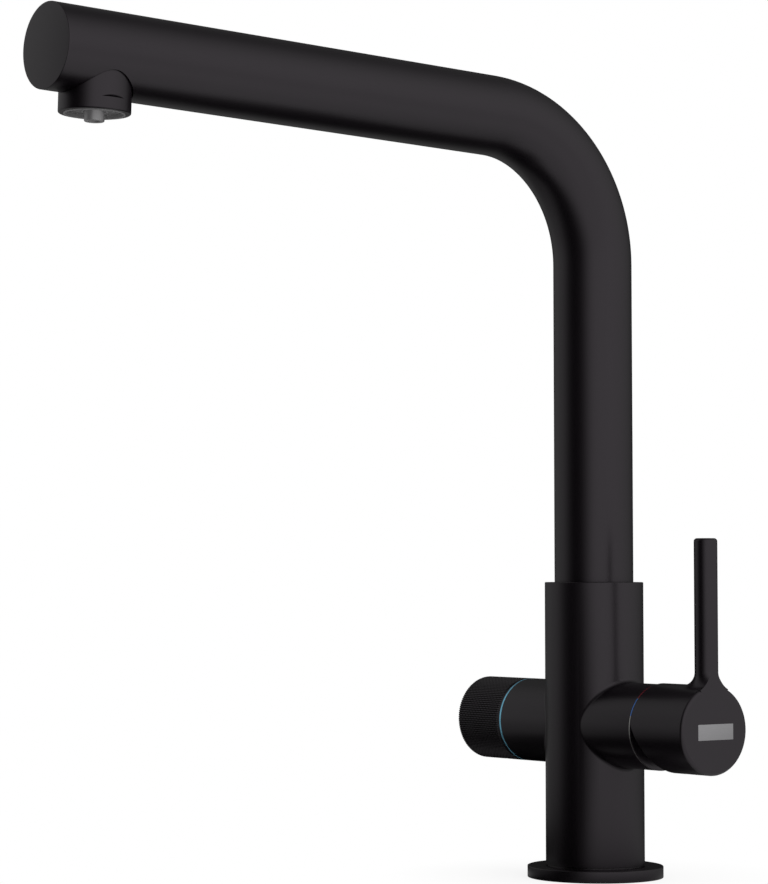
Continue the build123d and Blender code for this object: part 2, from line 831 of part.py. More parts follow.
pieces = {
    "base_flange": base_flange,
    "base_seal": base_seal,
    "tap_body": tap_body,
    "spout_bearing_ring": bearing_ring,
    "spout_lock_screw": lock_screw,
    "filter_tube_seal": filter_tube_seal,
    "spout_tube": spout_tube,
    "spout_end_cap": spout_end_cap,
    "spout_spigot": spout_spigot,
    "spout_o_rings": spout_o_rings,
    "filter_tube": filter_tube,
    "aerator_socket": aerator_socket,
    "aerator_collar": aerator_collar,
    "aerator_insert": aerator_insert,
    "aerator_washer": aerator_washer,
    "filter_nozzle": filter_nozzle,
    "cartridge_housing": cartridge_housing,
    "cartridge_seals": cartridge_seals,
    "cartridge_fixed_disc": cartridge_fixed_disc,
    "cartridge_nut": cartridge_nut,
    "cartridge_moving_disc": cartridge_moving_disc,
    "cartridge_driver": cartridge_driver,
    "cartridge_carrier": cartridge_carrier,
    "cartridge_pivot_pin": cartridge_pivot_pin,
    "cartridge_spindle": cartridge_spindle,
    "temperature_ring": temperature_ring,
    "mixer_handle": mixer_handle,
    "handle_screw": handle_screw,
    "filter_valve_housing": filter_valve_housing,
    "filter_valve_seal": filter_valve_seal,
    "filter_fixed_disc": filter_fixed_disc,
    "filter_moving_disc": filter_moving_disc,
    "filter_stem": filter_stem,
    "filter_stem_seal": filter_stem_seal,
    "filter_ring": filter_ring,
    "filter_knob": filter_knob,
    "filter_knob_screw": filter_knob_screw,
}

os.makedirs("parts", exist_ok=True)
for name, make in pieces.items():
    piece = make()
    export_step(piece, f"parts/{name}.step")
    print(name, round(piece.volume), "mm3")
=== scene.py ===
# %% [markdown]
# # A black kitchen tap with a filtered water knob
#
# The tap is already modelled to size as a set of CAD parts. This lesson dresses it: the
# visible pieces are made again with smooth, finely divided surfaces on exactly the same
# sizes, every surface gets a finish, and a small studio is built round it. All lengths
# are written in millimetres and turned to metres in one place.

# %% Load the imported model
import math

import bmesh
import bpy
from mathutils import Matrix, Vector


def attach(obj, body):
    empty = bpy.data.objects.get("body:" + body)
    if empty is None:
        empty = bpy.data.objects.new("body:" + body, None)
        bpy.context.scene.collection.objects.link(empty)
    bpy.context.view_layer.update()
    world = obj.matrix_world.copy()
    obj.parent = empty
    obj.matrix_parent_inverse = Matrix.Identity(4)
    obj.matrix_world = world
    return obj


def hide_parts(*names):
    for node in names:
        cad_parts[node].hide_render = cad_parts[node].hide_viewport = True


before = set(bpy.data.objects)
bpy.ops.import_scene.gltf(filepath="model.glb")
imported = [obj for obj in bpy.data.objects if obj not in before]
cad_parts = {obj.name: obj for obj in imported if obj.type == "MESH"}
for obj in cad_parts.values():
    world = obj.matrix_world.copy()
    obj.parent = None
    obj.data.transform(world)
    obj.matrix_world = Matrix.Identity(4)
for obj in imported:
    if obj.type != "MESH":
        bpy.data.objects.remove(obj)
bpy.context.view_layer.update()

# %% [markdown]
# ## Adding nodes
#
# Materials, the sky and the shape recipes are all graphs of nodes. One small function is
# enough for every one of them: it adds a node, sets its options, and fills each input
# with a value or with the output of another node.

# %% A function that adds a node
def add_node(tree, kind, inputs=None, **settings):
    """Adds a node; inputs maps a socket's name or number to a value or to another socket."""
    node = tree.nodes.new(kind)
    for key, value in settings.items():
        setattr(node, key, value)
    for key, value in (inputs or {}).items():
        if isinstance(value, bpy.types.NodeSocket):
            tree.links.new(value, node.inputs[key])
        else:
            node.inputs[key].default_value = value
    return node


def linear(hex_colour):
    """Turns an sRGB colour such as #2a282a into the linear colour that shaders use."""
    channels = [int(hex_colour[i:i + 2], 16) / 255 for i in (1, 3, 5)]
    return [c / 12.92 if c <= 0.04045 else ((c + 0.055) / 1.055) ** 2.4 for c in channels] + [1.0]


MM = 0.001  # in metres
print("white is", linear("#ffffff"))

# %% [markdown]
# ## The camera
#
# The photograph was taken from the front right, a little below the middle of the tap,
# with a long lens. The place and the lens below were worked out from the outlines in the
# photograph. The frame is a slice of a larger picture, so the lens is shifted a little.

# %% Camera at the photograph's viewing angle
VIEW_AZIMUTH = math.radians(53.453)
VIEW_RISE = math.radians(3.213)
CAMERA_PLACE = Vector((844.928, -755.173, 117.617)) * MM
FRAME_WIDTH, FRAME_HEIGHT = 768, 884
SENSOR_WIDTH = 36
FOCAL_PIXELS = 2947.177
CENTRE_X, CENTRE_Y = 323.0, 401.139

level = Vector((-math.sin(VIEW_AZIMUTH), math.cos(VIEW_AZIMUTH), 0))
right = Vector((math.cos(VIEW_AZIMUTH), math.sin(VIEW_AZIMUTH), 0))
up = Vector((0, 0, 1))
ahead = math.cos(VIEW_RISE) * level + math.sin(VIEW_RISE) * up
above = math.cos(VIEW_RISE) * up - math.sin(VIEW_RISE) * level

camera_data = bpy.data.cameras.new("camera")
camera_data.sensor_width = SENSOR_WIDTH
camera_data.sensor_fit = "AUTO"
camera_data.lens = SENSOR_WIDTH * FOCAL_PIXELS / FRAME_HEIGHT
camera_data.shift_x = (FRAME_WIDTH / 2 - CENTRE_X) / FRAME_HEIGHT
camera_data.shift_y = (CENTRE_Y - FRAME_HEIGHT / 2) / FRAME_HEIGHT
camera_data.clip_start = 0.05
camera_data.clip_end = 30
camera = bpy.data.objects.new("camera", camera_data)
turn = Matrix((right, above, -ahead)).transposed().to_4x4()
camera.matrix_world = Matrix.Translation(CAMERA_PLACE) @ turn
bpy.context.scene.collection.objects.link(camera)
bpy.context.scene.camera = camera
bpy.context.scene.view_settings.view_transform = "Standard"
print("lens", round(camera_data.lens, 1), "mm")

# %% [markdown]
# ## Making meshes
#
# Most of the tap is turned work, so one helper spins an outline about an axis, and another
# makes the few flat plates. Real edges are never perfectly sharp, so the corners of an
# outline are rounded first. Finished meshes are shaded smooth, with a sharp line kept
# wherever two faces meet at a steep angle.

# %% Outlines with rounded corners
def rectangle(left, low, right, high):
    """The four corners of a rectangle, in order round it."""
    return [(left, low), (right, low), (right, high), (left, high)]


def rounded(points, radii, steps=6):
    """Replaces each corner of a closed outline by an arc of the radius given for it."""
    result = []
    count = len(points)
    for i, corner in enumerate(points):
        radius = radii.get(i, 0)
        here = Vector(corner)
        if not radius:
            result.append(tuple(here))
            continue
        before = (Vector(points[i - 1]) - here).normalized()
        after = (Vector(points[(i + 1) % count]) - here).normalized()
        half = before.angle(after) / 2
        reach = radius / math.tan(half)
        centre = here + (before + after).normalized() * radius / math.sin(half)
        start = here + before * reach - centre
        end = here + after * reach - centre
        sweep = start.angle_signed(end)
        for k in range(steps + 1):
            angle = -sweep * k / steps
            cos, sin = math.cos(angle), math.sin(angle)
            result.append((centre.x + cos * start.x - sin * start.y,
                           centre.y + sin * start.x + cos * start.y))
    return result


print(len(rounded(rectangle(0, 0, 4, 4), {1: 1})), "points on a square with one round corner")

# %% Meshes from corners and faces
MERGE_DISTANCE, EMPTY_EDGE = 1e-7, 1e-8  # in metres


def tidy_mesh(mesh):
    """Merges corners that coincide, drops empty faces and turns all faces outwards."""
    work = bmesh.new()
    work.from_mesh(mesh)
    bmesh.ops.remove_doubles(work, verts=work.verts, dist=MERGE_DISTANCE)
    bmesh.ops.dissolve_degenerate(work, edges=work.edges, dist=EMPTY_EDGE)
    bmesh.ops.recalc_face_normals(work, faces=work.faces)
    work.to_mesh(mesh)
    work.free()


def make_piece(name, corners, faces, place=Matrix.Identity(4)):
    """Makes a closed mesh object from corners in millimetres, its faces turned outwards."""
    mesh = bpy.data.meshes.new(name)
    mesh.from_pydata([place @ Vector(c) * MM for c in corners], [], faces)
    tidy_mesh(mesh)
    piece = bpy.data.objects.new(name, mesh)
    bpy.context.scene.collection.objects.link(piece)
    return piece


def shade(piece, angle=32):
    """Smooth shading, with sharp lines where faces meet at more than an angle."""
    piece.data.shade_smooth()
    piece.data.set_sharp_from_angle(angle=math.radians(angle))
    return piece


def in_mm(piece, digits=1):
    """A piece's width, depth and height in millimetres."""
    return [round(d / MM, digits) for d in piece.dimensions]


print("corners closer than", MERGE_DISTANCE / MM, "mm become one")

# %% Turned pieces
def lathe(name, outline, steps=160, place=Matrix.Identity(4)):
    """Turns a closed outline of (radius, height) points about the local Z axis."""
    corners = []
    for i in range(steps):
        angle = 2 * math.pi * i / steps
        corners += [(r * math.cos(angle), r * math.sin(angle), h) for r, h in outline]
    count = len(outline)
    faces = []
    for i in range(steps):
        here, there = i * count, (i + 1) % steps * count
        for k in range(count):
            n = (k + 1) % count
            faces.append((here + k, there + k, there + n, here + n))
    return make_piece(name, corners, faces, place)


def bar(radius, low, high, place=Matrix.Identity(4), steps=96):
    """A plain round bar, used as a drill."""
    return lathe("bar", rectangle(0, low, radius, high), steps, place)


print("turned helpers ready: lathe, bar")

# %% Plates and blocks
def slab(name, outline, low, high, edge, place=Matrix.Identity(4), steps=6):
    """A flat plate with the outline given and all its edges rounded."""
    count = len(outline)
    flat = [Vector(p) for p in outline]
    inward = []
    for i, point in enumerate(flat):
        before = (point - flat[i - 1]).normalized()
        after = (flat[(i + 1) % count] - point).normalized()
        middle = (before + after).normalized()
        normal = Vector((-middle.y, middle.x))
        # A sharp corner moves inwards by twice the edge at most
        inward.append(normal / max(0.5, normal.dot(Vector((-before.y, before.x)))))
    turns = [math.pi / 2 * k / steps for k in range(steps + 1)]
    levels = [(edge * (1 - math.sin(a)), low + edge * (1 - math.cos(a))) for a in turns]
    levels += [(edge * (1 - math.cos(a)), high - edge * (1 - math.sin(a))) for a in turns]
    corners = []
    for offset, height in levels:
        corners += [(p.x + n.x * offset, p.y + n.y * offset, height) for p, n in zip(flat, inward)]
    faces = [tuple(range(count)), tuple(range(len(corners) - count, len(corners)))]
    for k in range(len(levels) - 1):
        for i in range(count):
            n = (i + 1) % count
            here, over = k * count, (k + 1) * count
            faces.append((here + i, here + n, over + n, over + i))
    return make_piece(name, corners, faces, place)


def block(outline, low, high, place):
    """A plain block with sharp edges, used as a cutter."""
    return slab("block", outline, low, high, 0.001, place, 1)


print("plate helpers ready: slab, block")

# %% [markdown]
# ## Joining and cutting
#
# A cast body is round bars joined and then drilled. In Blender that is a chain of Boolean
# modifiers. The result is read from the evaluated object into a plain mesh, so that no
# modifier is left and the helper shapes can be deleted.

# %% Boolean work
def flatten(piece):
    """Replaces a piece's mesh by the result of its modifiers, and removes them."""
    bpy.context.view_layer.update()
    seen = piece.evaluated_get(bpy.context.evaluated_depsgraph_get())
    mesh = bpy.data.meshes.new_from_object(seen)
    piece.modifiers.clear()
    piece.data = mesh


def combine(piece, others, operation):
    """Adds or cuts other pieces and leaves a plain mesh."""
    for other in others:
        step = piece.modifiers.new("step", "BOOLEAN")
        step.object = other
        step.operation = operation
        step.solver = "EXACT"
    flatten(piece)
    for other in others:
        bpy.data.objects.remove(other)
    return piece


def even_normals(piece, angle=40):
    """Keeps large flat faces flat in shade beside small rounded edges."""
    shade(piece, angle)
    step = piece.modifiers.new("normals", "WEIGHTED_NORMAL")
    step.keep_sharp = True
    step.weight = 80
    flatten(piece)
    return piece


# Local frames: +Z runs along each control, away from the column
CONTROL_HEIGHT = 58.0
mixer = Matrix(((0, 0, 1, 0), (1, 0, 0, 0), (0, 1, 0, CONTROL_HEIGHT), (0, 0, 0, 1)))
filtered = Matrix(((0, 0, -1, 0), (-1, 0, 0, 0), (0, 1, 0, CONTROL_HEIGHT), (0, 0, 0, 1)))
print("mixer axis", mixer.to_3x3() @ Vector((0, 0, 1)))

# %% [markdown]
# ## Satin black finish
#
# The brass is sprayed with a thin black lacquer and baked. It gives the eye a deep black
# that turns to soft grey wherever it faces something bright: nearly no colour of its own,
# a wide soft gloss, and an even, barely visible grain. The real grain is finer than the
# eye can follow here, so it is drawn a third of a millimetre wide. It comes from noise on
# the object's own coordinates, so it stays put as parts move, and it drives both the
# roughness and a very shallow bump.

# %% Satin black lacquer
def new_material(name):
    """An empty node material with its shader and output."""
    material = bpy.data.materials.new(name)
    material.use_nodes = True
    material.node_tree.nodes.clear()
    shader = add_node(material.node_tree, "ShaderNodeBsdfPrincipled")
    add_node(material.node_tree, "ShaderNodeOutputMaterial", {"Surface": shader.outputs["BSDF"]})
    return material, material.node_tree, shader


def grain(tree, size_mm, detail=2.0):
    """Noise whose grains are about the size given, on the object's own coordinates."""
    place = add_node(tree, "ShaderNodeTexCoord")
    noise = add_node(tree, "ShaderNodeTexNoise", {
        "Vector": place.outputs["Object"], "Scale": 1 / (size_mm * MM), "Detail": detail,
        "Roughness": 0.5,
    })
    return noise.outputs["Fac"]


def spread(tree, value, low, high):
    """Maps noise, which keeps near 0.5, onto a range of values."""
    node = add_node(tree, "ShaderNodeMapRange", {
        "Value": value, "From Min": 0.3, "From Max": 0.7, "To Min": low, "To Max": high,
    })
    return node.outputs["Result"]


def bump(tree, shader, value, height_mm):
    """A shallow relief of the height given."""
    node = add_node(tree, "ShaderNodeBump", {
        "Height": value, "Distance": height_mm * MM, "Strength": 1.0,
    })
    tree.links.new(node.outputs["Normal"], shader.inputs["Normal"])


GRAIN_MM = 0.35
satin_black, tree, shader = new_material("satin_black_lacquer")
shader.inputs["Base Color"].default_value = linear("#050205")
shader.inputs["IOR"].default_value = 1.5
shader.inputs["Specular Tint"].default_value = (1.0, 0.92, 1.0, 1.0)  # a hint of violet
fine = grain(tree, GRAIN_MM)
tree.links.new(spread(tree, fine, 0.29, 0.33), shader.inputs["Roughness"])
bump(tree, shader, fine, 0.0006)
print(satin_black.name, "grain", GRAIN_MM, "mm")

# %% [markdown]
# ## The base and the column
#
# The base is a flat turned ring that hides the hole in the worktop. The column stands in
# it, with a narrow shadow groove between the two. The column and its two arms are one
# casting. Where an arm grows out of the column, or a lever out of a cup, there is a
# hollow blend that follows a rule: a ball rolls round the root and touches both, and its
# path of contact is the surface. So such a stem is made as rings of points on that rule.
# The pieces are then joined and drilled for the spout, the cartridge, the valve and the
# hoses.

# %% Base ring
BASE_RADIUS, BASE_HOLE, BASE_HEIGHT = 25.75, 16.95, 4.3
base_outline = rounded(rectangle(BASE_HOLE, 0, BASE_RADIUS, BASE_HEIGHT), {1: 0.2, 2: 0.25})
base_ring = lathe("base_ring", base_outline, 200)
seal_groove = lathe("seal_groove", rectangle(19.55, -1, 23.45, 1.85), 120)
combine(base_ring, [seal_groove], "DIFFERENCE")
shade(base_ring)
print("base ring", in_mm(base_ring), "mm")

# %% A round stem with a rolling-ball root
STEM_FOOT, EDGE_STEPS = 2.5, 8  # how deep a stem starts inside its base


def rooted_stem(name, base_radius, radius, blend, top, edge, place, around=96, steps=20):
    """A round bar up the local Y axis that grows out of a round body along local Z."""
    reach, path = radius + blend, []
    for i in range(around):
        side, along = math.cos(2 * math.pi * i / around), math.sin(2 * math.pi * i / around)
        height = math.sqrt((base_radius + blend) ** 2 - (reach * side) ** 2)
        ball = Vector((reach * side, height, reach * along))
        to_base = Vector((-ball.x, -ball.y, 0)).normalized()
        to_stem = Vector((-side, 0, -along))
        path.append(ball + to_base * (blend + STEM_FOOT))
        path += [ball + to_base.slerp(to_stem, k / steps) * blend for k in range(steps + 1)]
        for k in range(EDGE_STEPS + 1):
            turned = math.pi / 2 * k / EDGE_STEPS
            narrow = radius - edge * (1 - math.cos(turned))
            height = top - edge * (1 - math.sin(turned))
            path.append(Vector((narrow * side, height, narrow * along)))
    count = steps + EDGE_STEPS + 3
    faces = []
    for i in range(around):
        here, there = i * count, (i + 1) % around * count
        faces += [(here + k, there + k, there + k + 1, here + k + 1) for k in range(count - 1)]
    faces += [tuple(i * count + end for i in range(around)) for end in (0, count - 1)]
    return make_piece(name, path, faces, place)


print("stem helper ready")

# %% Column and arms
COLUMN_RADIUS, COLUMN_TOP, COLUMN_EDGE = 18.75, 111.7, 0.35
NECK_RADIUS, NECK_TOP = 18.1, 4.9
SOCKET_RADIUS, SOCKET_FLOOR = 15.35, 108.3
SWIVEL_BORE, SWIVEL_FLOOR = 12.98, 82.55
column_outline = rounded([
    (0, 0), (16.9, 0), (16.9, BASE_HEIGHT), (NECK_RADIUS, BASE_HEIGHT), (NECK_RADIUS, NECK_TOP),
    (COLUMN_RADIUS, NECK_TOP), (COLUMN_RADIUS, COLUMN_TOP), (SOCKET_RADIUS, COLUMN_TOP),
    (SOCKET_RADIUS, SOCKET_FLOOR), (SWIVEL_BORE, SOCKET_FLOOR), (SWIVEL_BORE, SWIVEL_FLOOR),
    (0, SWIVEL_FLOOR),
], {5: 0.15, 6: COLUMN_EDGE, 7: 0.15})
column = lathe("column", column_outline, 192)

ARM_RADIUS, ARM_LENGTH, ARM_BLEND, ARM_EDGE = 16.0, 36.6, 2.0, 0.2
arms = []
for side in (1, -1):
    arm_place = Matrix(((0, side, 0, 0), (-side, 0, 0, 0), (0, 0, 1, CONTROL_HEIGHT), (0, 0, 0, 1)))
    arms.append(rooted_stem("arm", COLUMN_RADIUS - 0.02, ARM_RADIUS, ARM_BLEND, ARM_LENGTH,
                            ARM_EDGE, arm_place, around=160, steps=16))
combine(column, arms, "UNION")
print("column", in_mm(column), "mm")

# %% Drill the column
LOCK_HEIGHT = 100.95
INLET_RADIUS, INLET_CIRCLE, INLET_DEPTH = 4.5, 11.2, 12.0
back = Matrix.Translation((0, 0, LOCK_HEIGHT)) @ Matrix.Rotation(math.radians(-90), 4, "X")
drills = [
    bar(12.55, 9.0, 33.01, mixer),  # seat of the mixer cartridge
    bar(14.3, 33.0, 38.0, mixer),  # its nut
    bar(9.55, 15.0, 24.01, filtered),  # seat of the filtered water valve
    bar(13.2, 24.0, 37.0, filtered),  # its flange
    bar(2.5, 12.0, 20.0, back),  # lock screw of the spout
    bar(3.4, -1.0, 14.0),  # fixing stud
]
for angle in (-60, 60, 180):
    side, along = math.cos(math.radians(angle)), math.sin(math.radians(angle))
    spot = Vector((INLET_CIRCLE * side, INLET_CIRCLE * along, 0))
    drills.append(bar(INLET_RADIUS, -1.0, INLET_DEPTH, Matrix.Translation(spot), 64))
combine(column, drills, "DIFFERENCE")
shade(column, 20)
print("column faces", len(column.data.polygons))

# %% [markdown]
# ## The spout
#
# The spout is one tube that rises from the column, bends over and runs out almost level.
# Its shape follows a rule, so a Geometry Nodes tree makes it: three points give a line,
# the corner is rounded to the bend radius, and a circle is swept along it. The bore and
# the hole for the outlet are cut in the same tree.

# %% Spout sizes
TUBE_RADIUS, TUBE_BORE, TUBE_FOOT, BEND_RADIUS = 15.0, 13.6, 109.75, 53.5
CORNER_HEIGHT, SPOUT_LENGTH, SPOUT_RISE = 285.0, 245.0, math.radians(1.8)
END_WALL, OUTLET_SETBACK, OUTLET_HOLE = 4.0, 20.0, 13.0
BORE_FOOT = TUBE_FOOT - 1.75  # a cut that starts outside the tube opens its foot cleanly
corner_point = Vector((0, 0, CORNER_HEIGHT))
spout_way = Vector((0, -math.cos(SPOUT_RISE), math.sin(SPOUT_RISE)))
spout_down = Vector((0, -math.sin(SPOUT_RISE), -math.cos(SPOUT_RISE)))
spout_tip = corner_point + spout_way * SPOUT_LENGTH
outlet_point = spout_tip - spout_way * OUTLET_SETBACK
across = Vector((1, 0, 0))
# Local frame of the outlet: +Z runs down
outlet = Matrix((across, spout_down.cross(across), spout_down)).transposed().to_4x4()
outlet.translation = outlet_point
print("spout tip at", [round(v, 1) for v in spout_tip], "mm")

# %% Helpers for trees
def new_tree(name, sizes):
    """A Geometry Nodes tree with a named input for each size, and its input node."""
    tree = bpy.data.node_groups.new(name, "GeometryNodeTree")
    tree.is_modifier = True
    for label, (kind, value) in sizes.items():
        socket = tree.interface.new_socket(label, in_out="INPUT", socket_type="NodeSocket" + kind)
        socket.default_value = value
    tree.interface.new_socket("Geometry", in_out="OUTPUT", socket_type="NodeSocketGeometry")
    return tree, tree.nodes.new("NodeGroupInput").outputs


def end_tree(tree, geometry, material):
    """Ends a tree with plain, realized geometry that carries its material."""
    real = add_node(tree, "GeometryNodeRealizeInstances", {"Geometry": geometry})
    finish = add_node(tree, "GeometryNodeSetMaterial", {
        "Geometry": real.outputs[0], "Material": material,
    })
    add_node(tree, "NodeGroupOutput", {"Geometry": finish.outputs[0]})


def grow(name, tree, sizes):
    """Runs a tree on an empty object with the sizes given and keeps the plain mesh."""
    piece = bpy.data.objects.new(name, bpy.data.meshes.new(name))
    bpy.context.scene.collection.objects.link(piece)
    step = piece.modifiers.new("shape", "NODES")
    step.node_group = tree
    for item in tree.interface.items_tree:
        if item.in_out == "INPUT" and item.name in sizes:
            step[item.identifier] = sizes[item.name]
    flatten(piece)
    return piece


print("tree helpers ready: new_tree, end_tree, grow")

# %% Spout tree
def swept_line(tree, foot, corner, tip, bend, radius, rings, sides):
    """A capped round bar along a line of three points with a rounded corner."""
    line = add_node(tree, "GeometryNodeMeshLine", {"Count": 3})
    which = add_node(tree, "GeometryNodeIndexSwitch", data_type="VECTOR")
    which.index_switch_items.new()
    tree.links.new(add_node(tree, "GeometryNodeInputIndex").outputs[0], which.inputs["Index"])
    for k, point in enumerate((foot, corner, tip)):
        tree.links.new(point, which.inputs[k + 1])
    moved = add_node(tree, "GeometryNodeSetPosition", {
        "Geometry": line.outputs[0], "Position": which.outputs[0],
    })
    curve = add_node(tree, "GeometryNodeMeshToCurve", {"Mesh": moved.outputs[0]})
    bent = add_node(tree, "GeometryNodeFilletCurve", {
        "Curve": curve.outputs[0], "Radius": bend, "Count": 96,
    }, mode="POLY")
    even = add_node(tree, "GeometryNodeResampleCurve", {
        "Curve": bent.outputs[0], "Count": rings,
    }, mode="COUNT")
    circle = add_node(tree, "GeometryNodeCurvePrimitiveCircle", {
        "Radius": radius, "Resolution": sides,
    })
    return add_node(tree, "GeometryNodeCurveToMesh", {
        "Curve": even.outputs[0], "Profile Curve": circle.outputs[0], "Fill Caps": True,
    }).outputs[0]


tree, size = new_tree("bent tube", {
    "Foot": ("Vector", (0, 0, 0)), "Bore foot": ("Vector", (0, 0, 0)),
    "Corner": ("Vector", (0, 0, 0)), "Tip": ("Vector", (0, 0, 0)),
    "Bore tip": ("Vector", (0, 0, 0)), "Bend radius": ("Float", 0.05),
    "Outside radius": ("Float", 0.01), "Bore radius": ("Float", 0.01),
    "Hole place": ("Vector", (0, 0, 0)), "Hole turn": ("Vector", (0, 0, 0)),
    "Hole radius": ("Float", 0.01), "Hole depth": ("Float", 0.02),
})
outside = swept_line(tree, size["Foot"], size["Corner"], size["Tip"], size["Bend radius"],
                     size["Outside radius"], rings=260, sides=128)
bore = swept_line(tree, size["Bore foot"], size["Corner"], size["Bore tip"], size["Bend radius"],
                  size["Bore radius"], rings=120, sides=64)
drill = add_node(tree, "GeometryNodeMeshCylinder", {
    "Vertices": 128, "Radius": size["Hole radius"], "Depth": size["Hole depth"],
})
placed = add_node(tree, "GeometryNodeTransform", {
    "Geometry": drill.outputs[0], "Translation": size["Hole place"], "Rotation": size["Hole turn"],
})
cut = add_node(tree, "GeometryNodeMeshBoolean", operation="DIFFERENCE", solver="EXACT")
tree.links.new(outside, cut.inputs["Mesh 1"])
tree.links.new(bore, cut.inputs["Mesh 2"])
tree.links.new(placed.outputs[0], cut.inputs["Mesh 2"])
end_tree(tree, cut.outputs[0], satin_black)
print("bent tube tree has", len(tree.nodes), "nodes")

# %% Spout tube with its closed end
spout = grow("spout", tree, {
    "Foot": Vector((0, 0, TUBE_FOOT)) * MM, "Bore foot": Vector((0, 0, BORE_FOOT)) * MM,
    "Corner": corner_point * MM, "Tip": spout_tip * MM,
    "Bore tip": (spout_tip - spout_way * END_WALL) * MM, "Bend radius": BEND_RADIUS * MM,
    "Outside radius": TUBE_RADIUS * MM, "Bore radius": TUBE_BORE * MM,
    "Hole place": (outlet_point + spout_down * TUBE_RADIUS) * MM, "Hole turn": outlet.to_euler(),
    "Hole radius": OUTLET_HOLE * MM, "Hole depth": 20 * MM,
})


def on_rim(point):
    """True for a point on the edge of the spout's closed end."""
    from_tip = point - spout_tip
    off_axis = point.x ** 2 + from_tip.dot(spout_down) ** 2
    return from_tip.dot(spout_way) > -0.01 and off_axis > (TUBE_RADIUS - 0.8) ** 2


def round_edges(piece, wanted, width, steps=5):
    """Bevels the edges whose both ends pass a test."""
    work = bmesh.new()
    work.from_mesh(piece.data)
    chosen = [e for e in work.edges if all(wanted(v.co / MM) for v in e.verts)]
    bmesh.ops.bevel(work, geom=chosen, offset=width * MM, segments=steps, affect="EDGES",
                    profile=0.5)
    work.to_mesh(piece.data)
    work.free()
    return len(chosen)


rim = round_edges(spout, on_rim, 0.2)
tidy_mesh(spout.data)
shade(spout)
print("spout faces", len(spout.data.polygons), "rim edges", rim)

# %% [markdown]
# ## The outlet
#
# Under the end of the spout sits a round collar with a slanted slot in each side for the
# key that unscrews it. Inside it is a grey plastic disc with fine ribs that breaks up the
# stream, and in the middle of that the short nozzle for the filtered water. The collar is
# turned from an outline, and a wedge cuts each slot, as a saw would.

# %% Collar with its key slots
COLLAR_RADIUS, COLLAR_TOP, COLLAR_END = 12.5, 6.5, 20.9
collar_outline = rounded([
    (9, COLLAR_TOP), (COLLAR_RADIUS, COLLAR_TOP), (COLLAR_RADIUS, COLLAR_END), (10.7, COLLAR_END),
    (10.7, 20.3), (11, 20.3), (11, 9.0), (9, 9.0),
], {2: 0.6, 3: 0.15}, 8)
collar = lathe("outlet_collar", collar_outline, 128, outlet)
SLOT_LOWER, SLOT_DEPTH = 16.7, 0.85
slot_place = outlet @ Matrix.Rotation(math.radians(90), 4, "X")
slots = []
for side in (1, -1):
    outer, inner = side * (COLLAR_RADIUS + 0.2), side * (COLLAR_RADIUS - SLOT_DEPTH)
    wedge = [(outer, SLOT_LOWER - SLOT_DEPTH - 0.2), (outer, SLOT_LOWER), (inner, SLOT_LOWER)]
    slots.append(block(wedge[::side], -6, 6, slot_place))
combine(collar, slots, "DIFFERENCE")
shade(collar)
print("collar", in_mm(collar), "mm")

# %% [markdown]
# ## Grey plastic of the outlet
#
# The ribbed disc is moulded in grey ABS: a matt, slightly uneven grey. The nozzle is
# moulded in nylon and sprayed with a silver paint, so it is bright on the side that faces
# the light and dark on the other, which a matt grey never is.

# %% Outlet plastics
def moulded(name, dark, light, size_mm, rough_low, rough_high, relief_mm, metallic=0.0):
    """A moulded, pressed or lacquered material with a slightly uneven colour and gloss."""
    material, tree, shader = new_material(name)
    tint = grain(tree, size_mm)
    mix = add_node(tree, "ShaderNodeMix", {
        "Factor": tint, 6: linear(dark), 7: linear(light),
    }, data_type="RGBA")
    tree.links.new(mix.outputs[2], shader.inputs["Base Color"])
    tree.links.new(spread(tree, tint, rough_low, rough_high), shader.inputs["Roughness"])
    bump(tree, shader, tint, relief_mm)
    shader.inputs["Metallic"].default_value = metallic
    return material


grey_abs = moulded("moulded_grey_abs", "#696869", "#767576", 0.8, 0.42, 0.5, 0.004)
silvered_nylon = moulded("silver_sprayed_nylon", "#888788", "#929192", 1.2, 0.28, 0.34, 0.002,
                         metallic=0.5)
print(grey_abs.name, silvered_nylon.name)

# %% [markdown]
# ## The ribs of the disc
#
# The ribs are one small block repeated round a circle. A Geometry Nodes tree does that
# well: a circle gives one point for each rib, the block is set on every point, and each is
# turned by its share of the full circle. Only then is it made one plain mesh.

# %% Rib tree
tree, size = new_tree("ribbed disc", {
    "Rib count": ("Int", 24), "Rib length": ("Float", 0.005), "Rib width": ("Float", 0.001),
    "Rib height": ("Float", 0.001), "Rib middle": ("Float", 0.005),
})
rib = add_node(tree, "ShaderNodeCombineXYZ", {
    0: size["Rib length"], 1: size["Rib width"], 2: size["Rib height"],
})
rib_block = add_node(tree, "GeometryNodeMeshCube", {"Size": rib.outputs[0]})
ring = add_node(tree, "GeometryNodeMeshCircle", {
    "Vertices": size["Rib count"], "Radius": size["Rib middle"],
})
number = add_node(tree, "GeometryNodeInputIndex")
part = add_node(tree, "ShaderNodeMath", {0: number.outputs[0], 1: size["Rib count"]},
                operation="DIVIDE")
angle = add_node(tree, "ShaderNodeMath", {0: part.outputs[0], 1: 2 * math.pi},
                 operation="MULTIPLY")
turned_by = add_node(tree, "ShaderNodeCombineXYZ", {2: angle.outputs[0]})
facing = add_node(tree, "FunctionNodeEulerToRotation", {"Euler": turned_by.outputs[0]})
ribs = add_node(tree, "GeometryNodeInstanceOnPoints", {
    "Points": ring.outputs[0], "Instance": rib_block.outputs[0], "Rotation": facing.outputs[0],
})
end_tree(tree, ribs.outputs[0], grey_abs)
print("rib tree has", len(tree.nodes), "nodes")

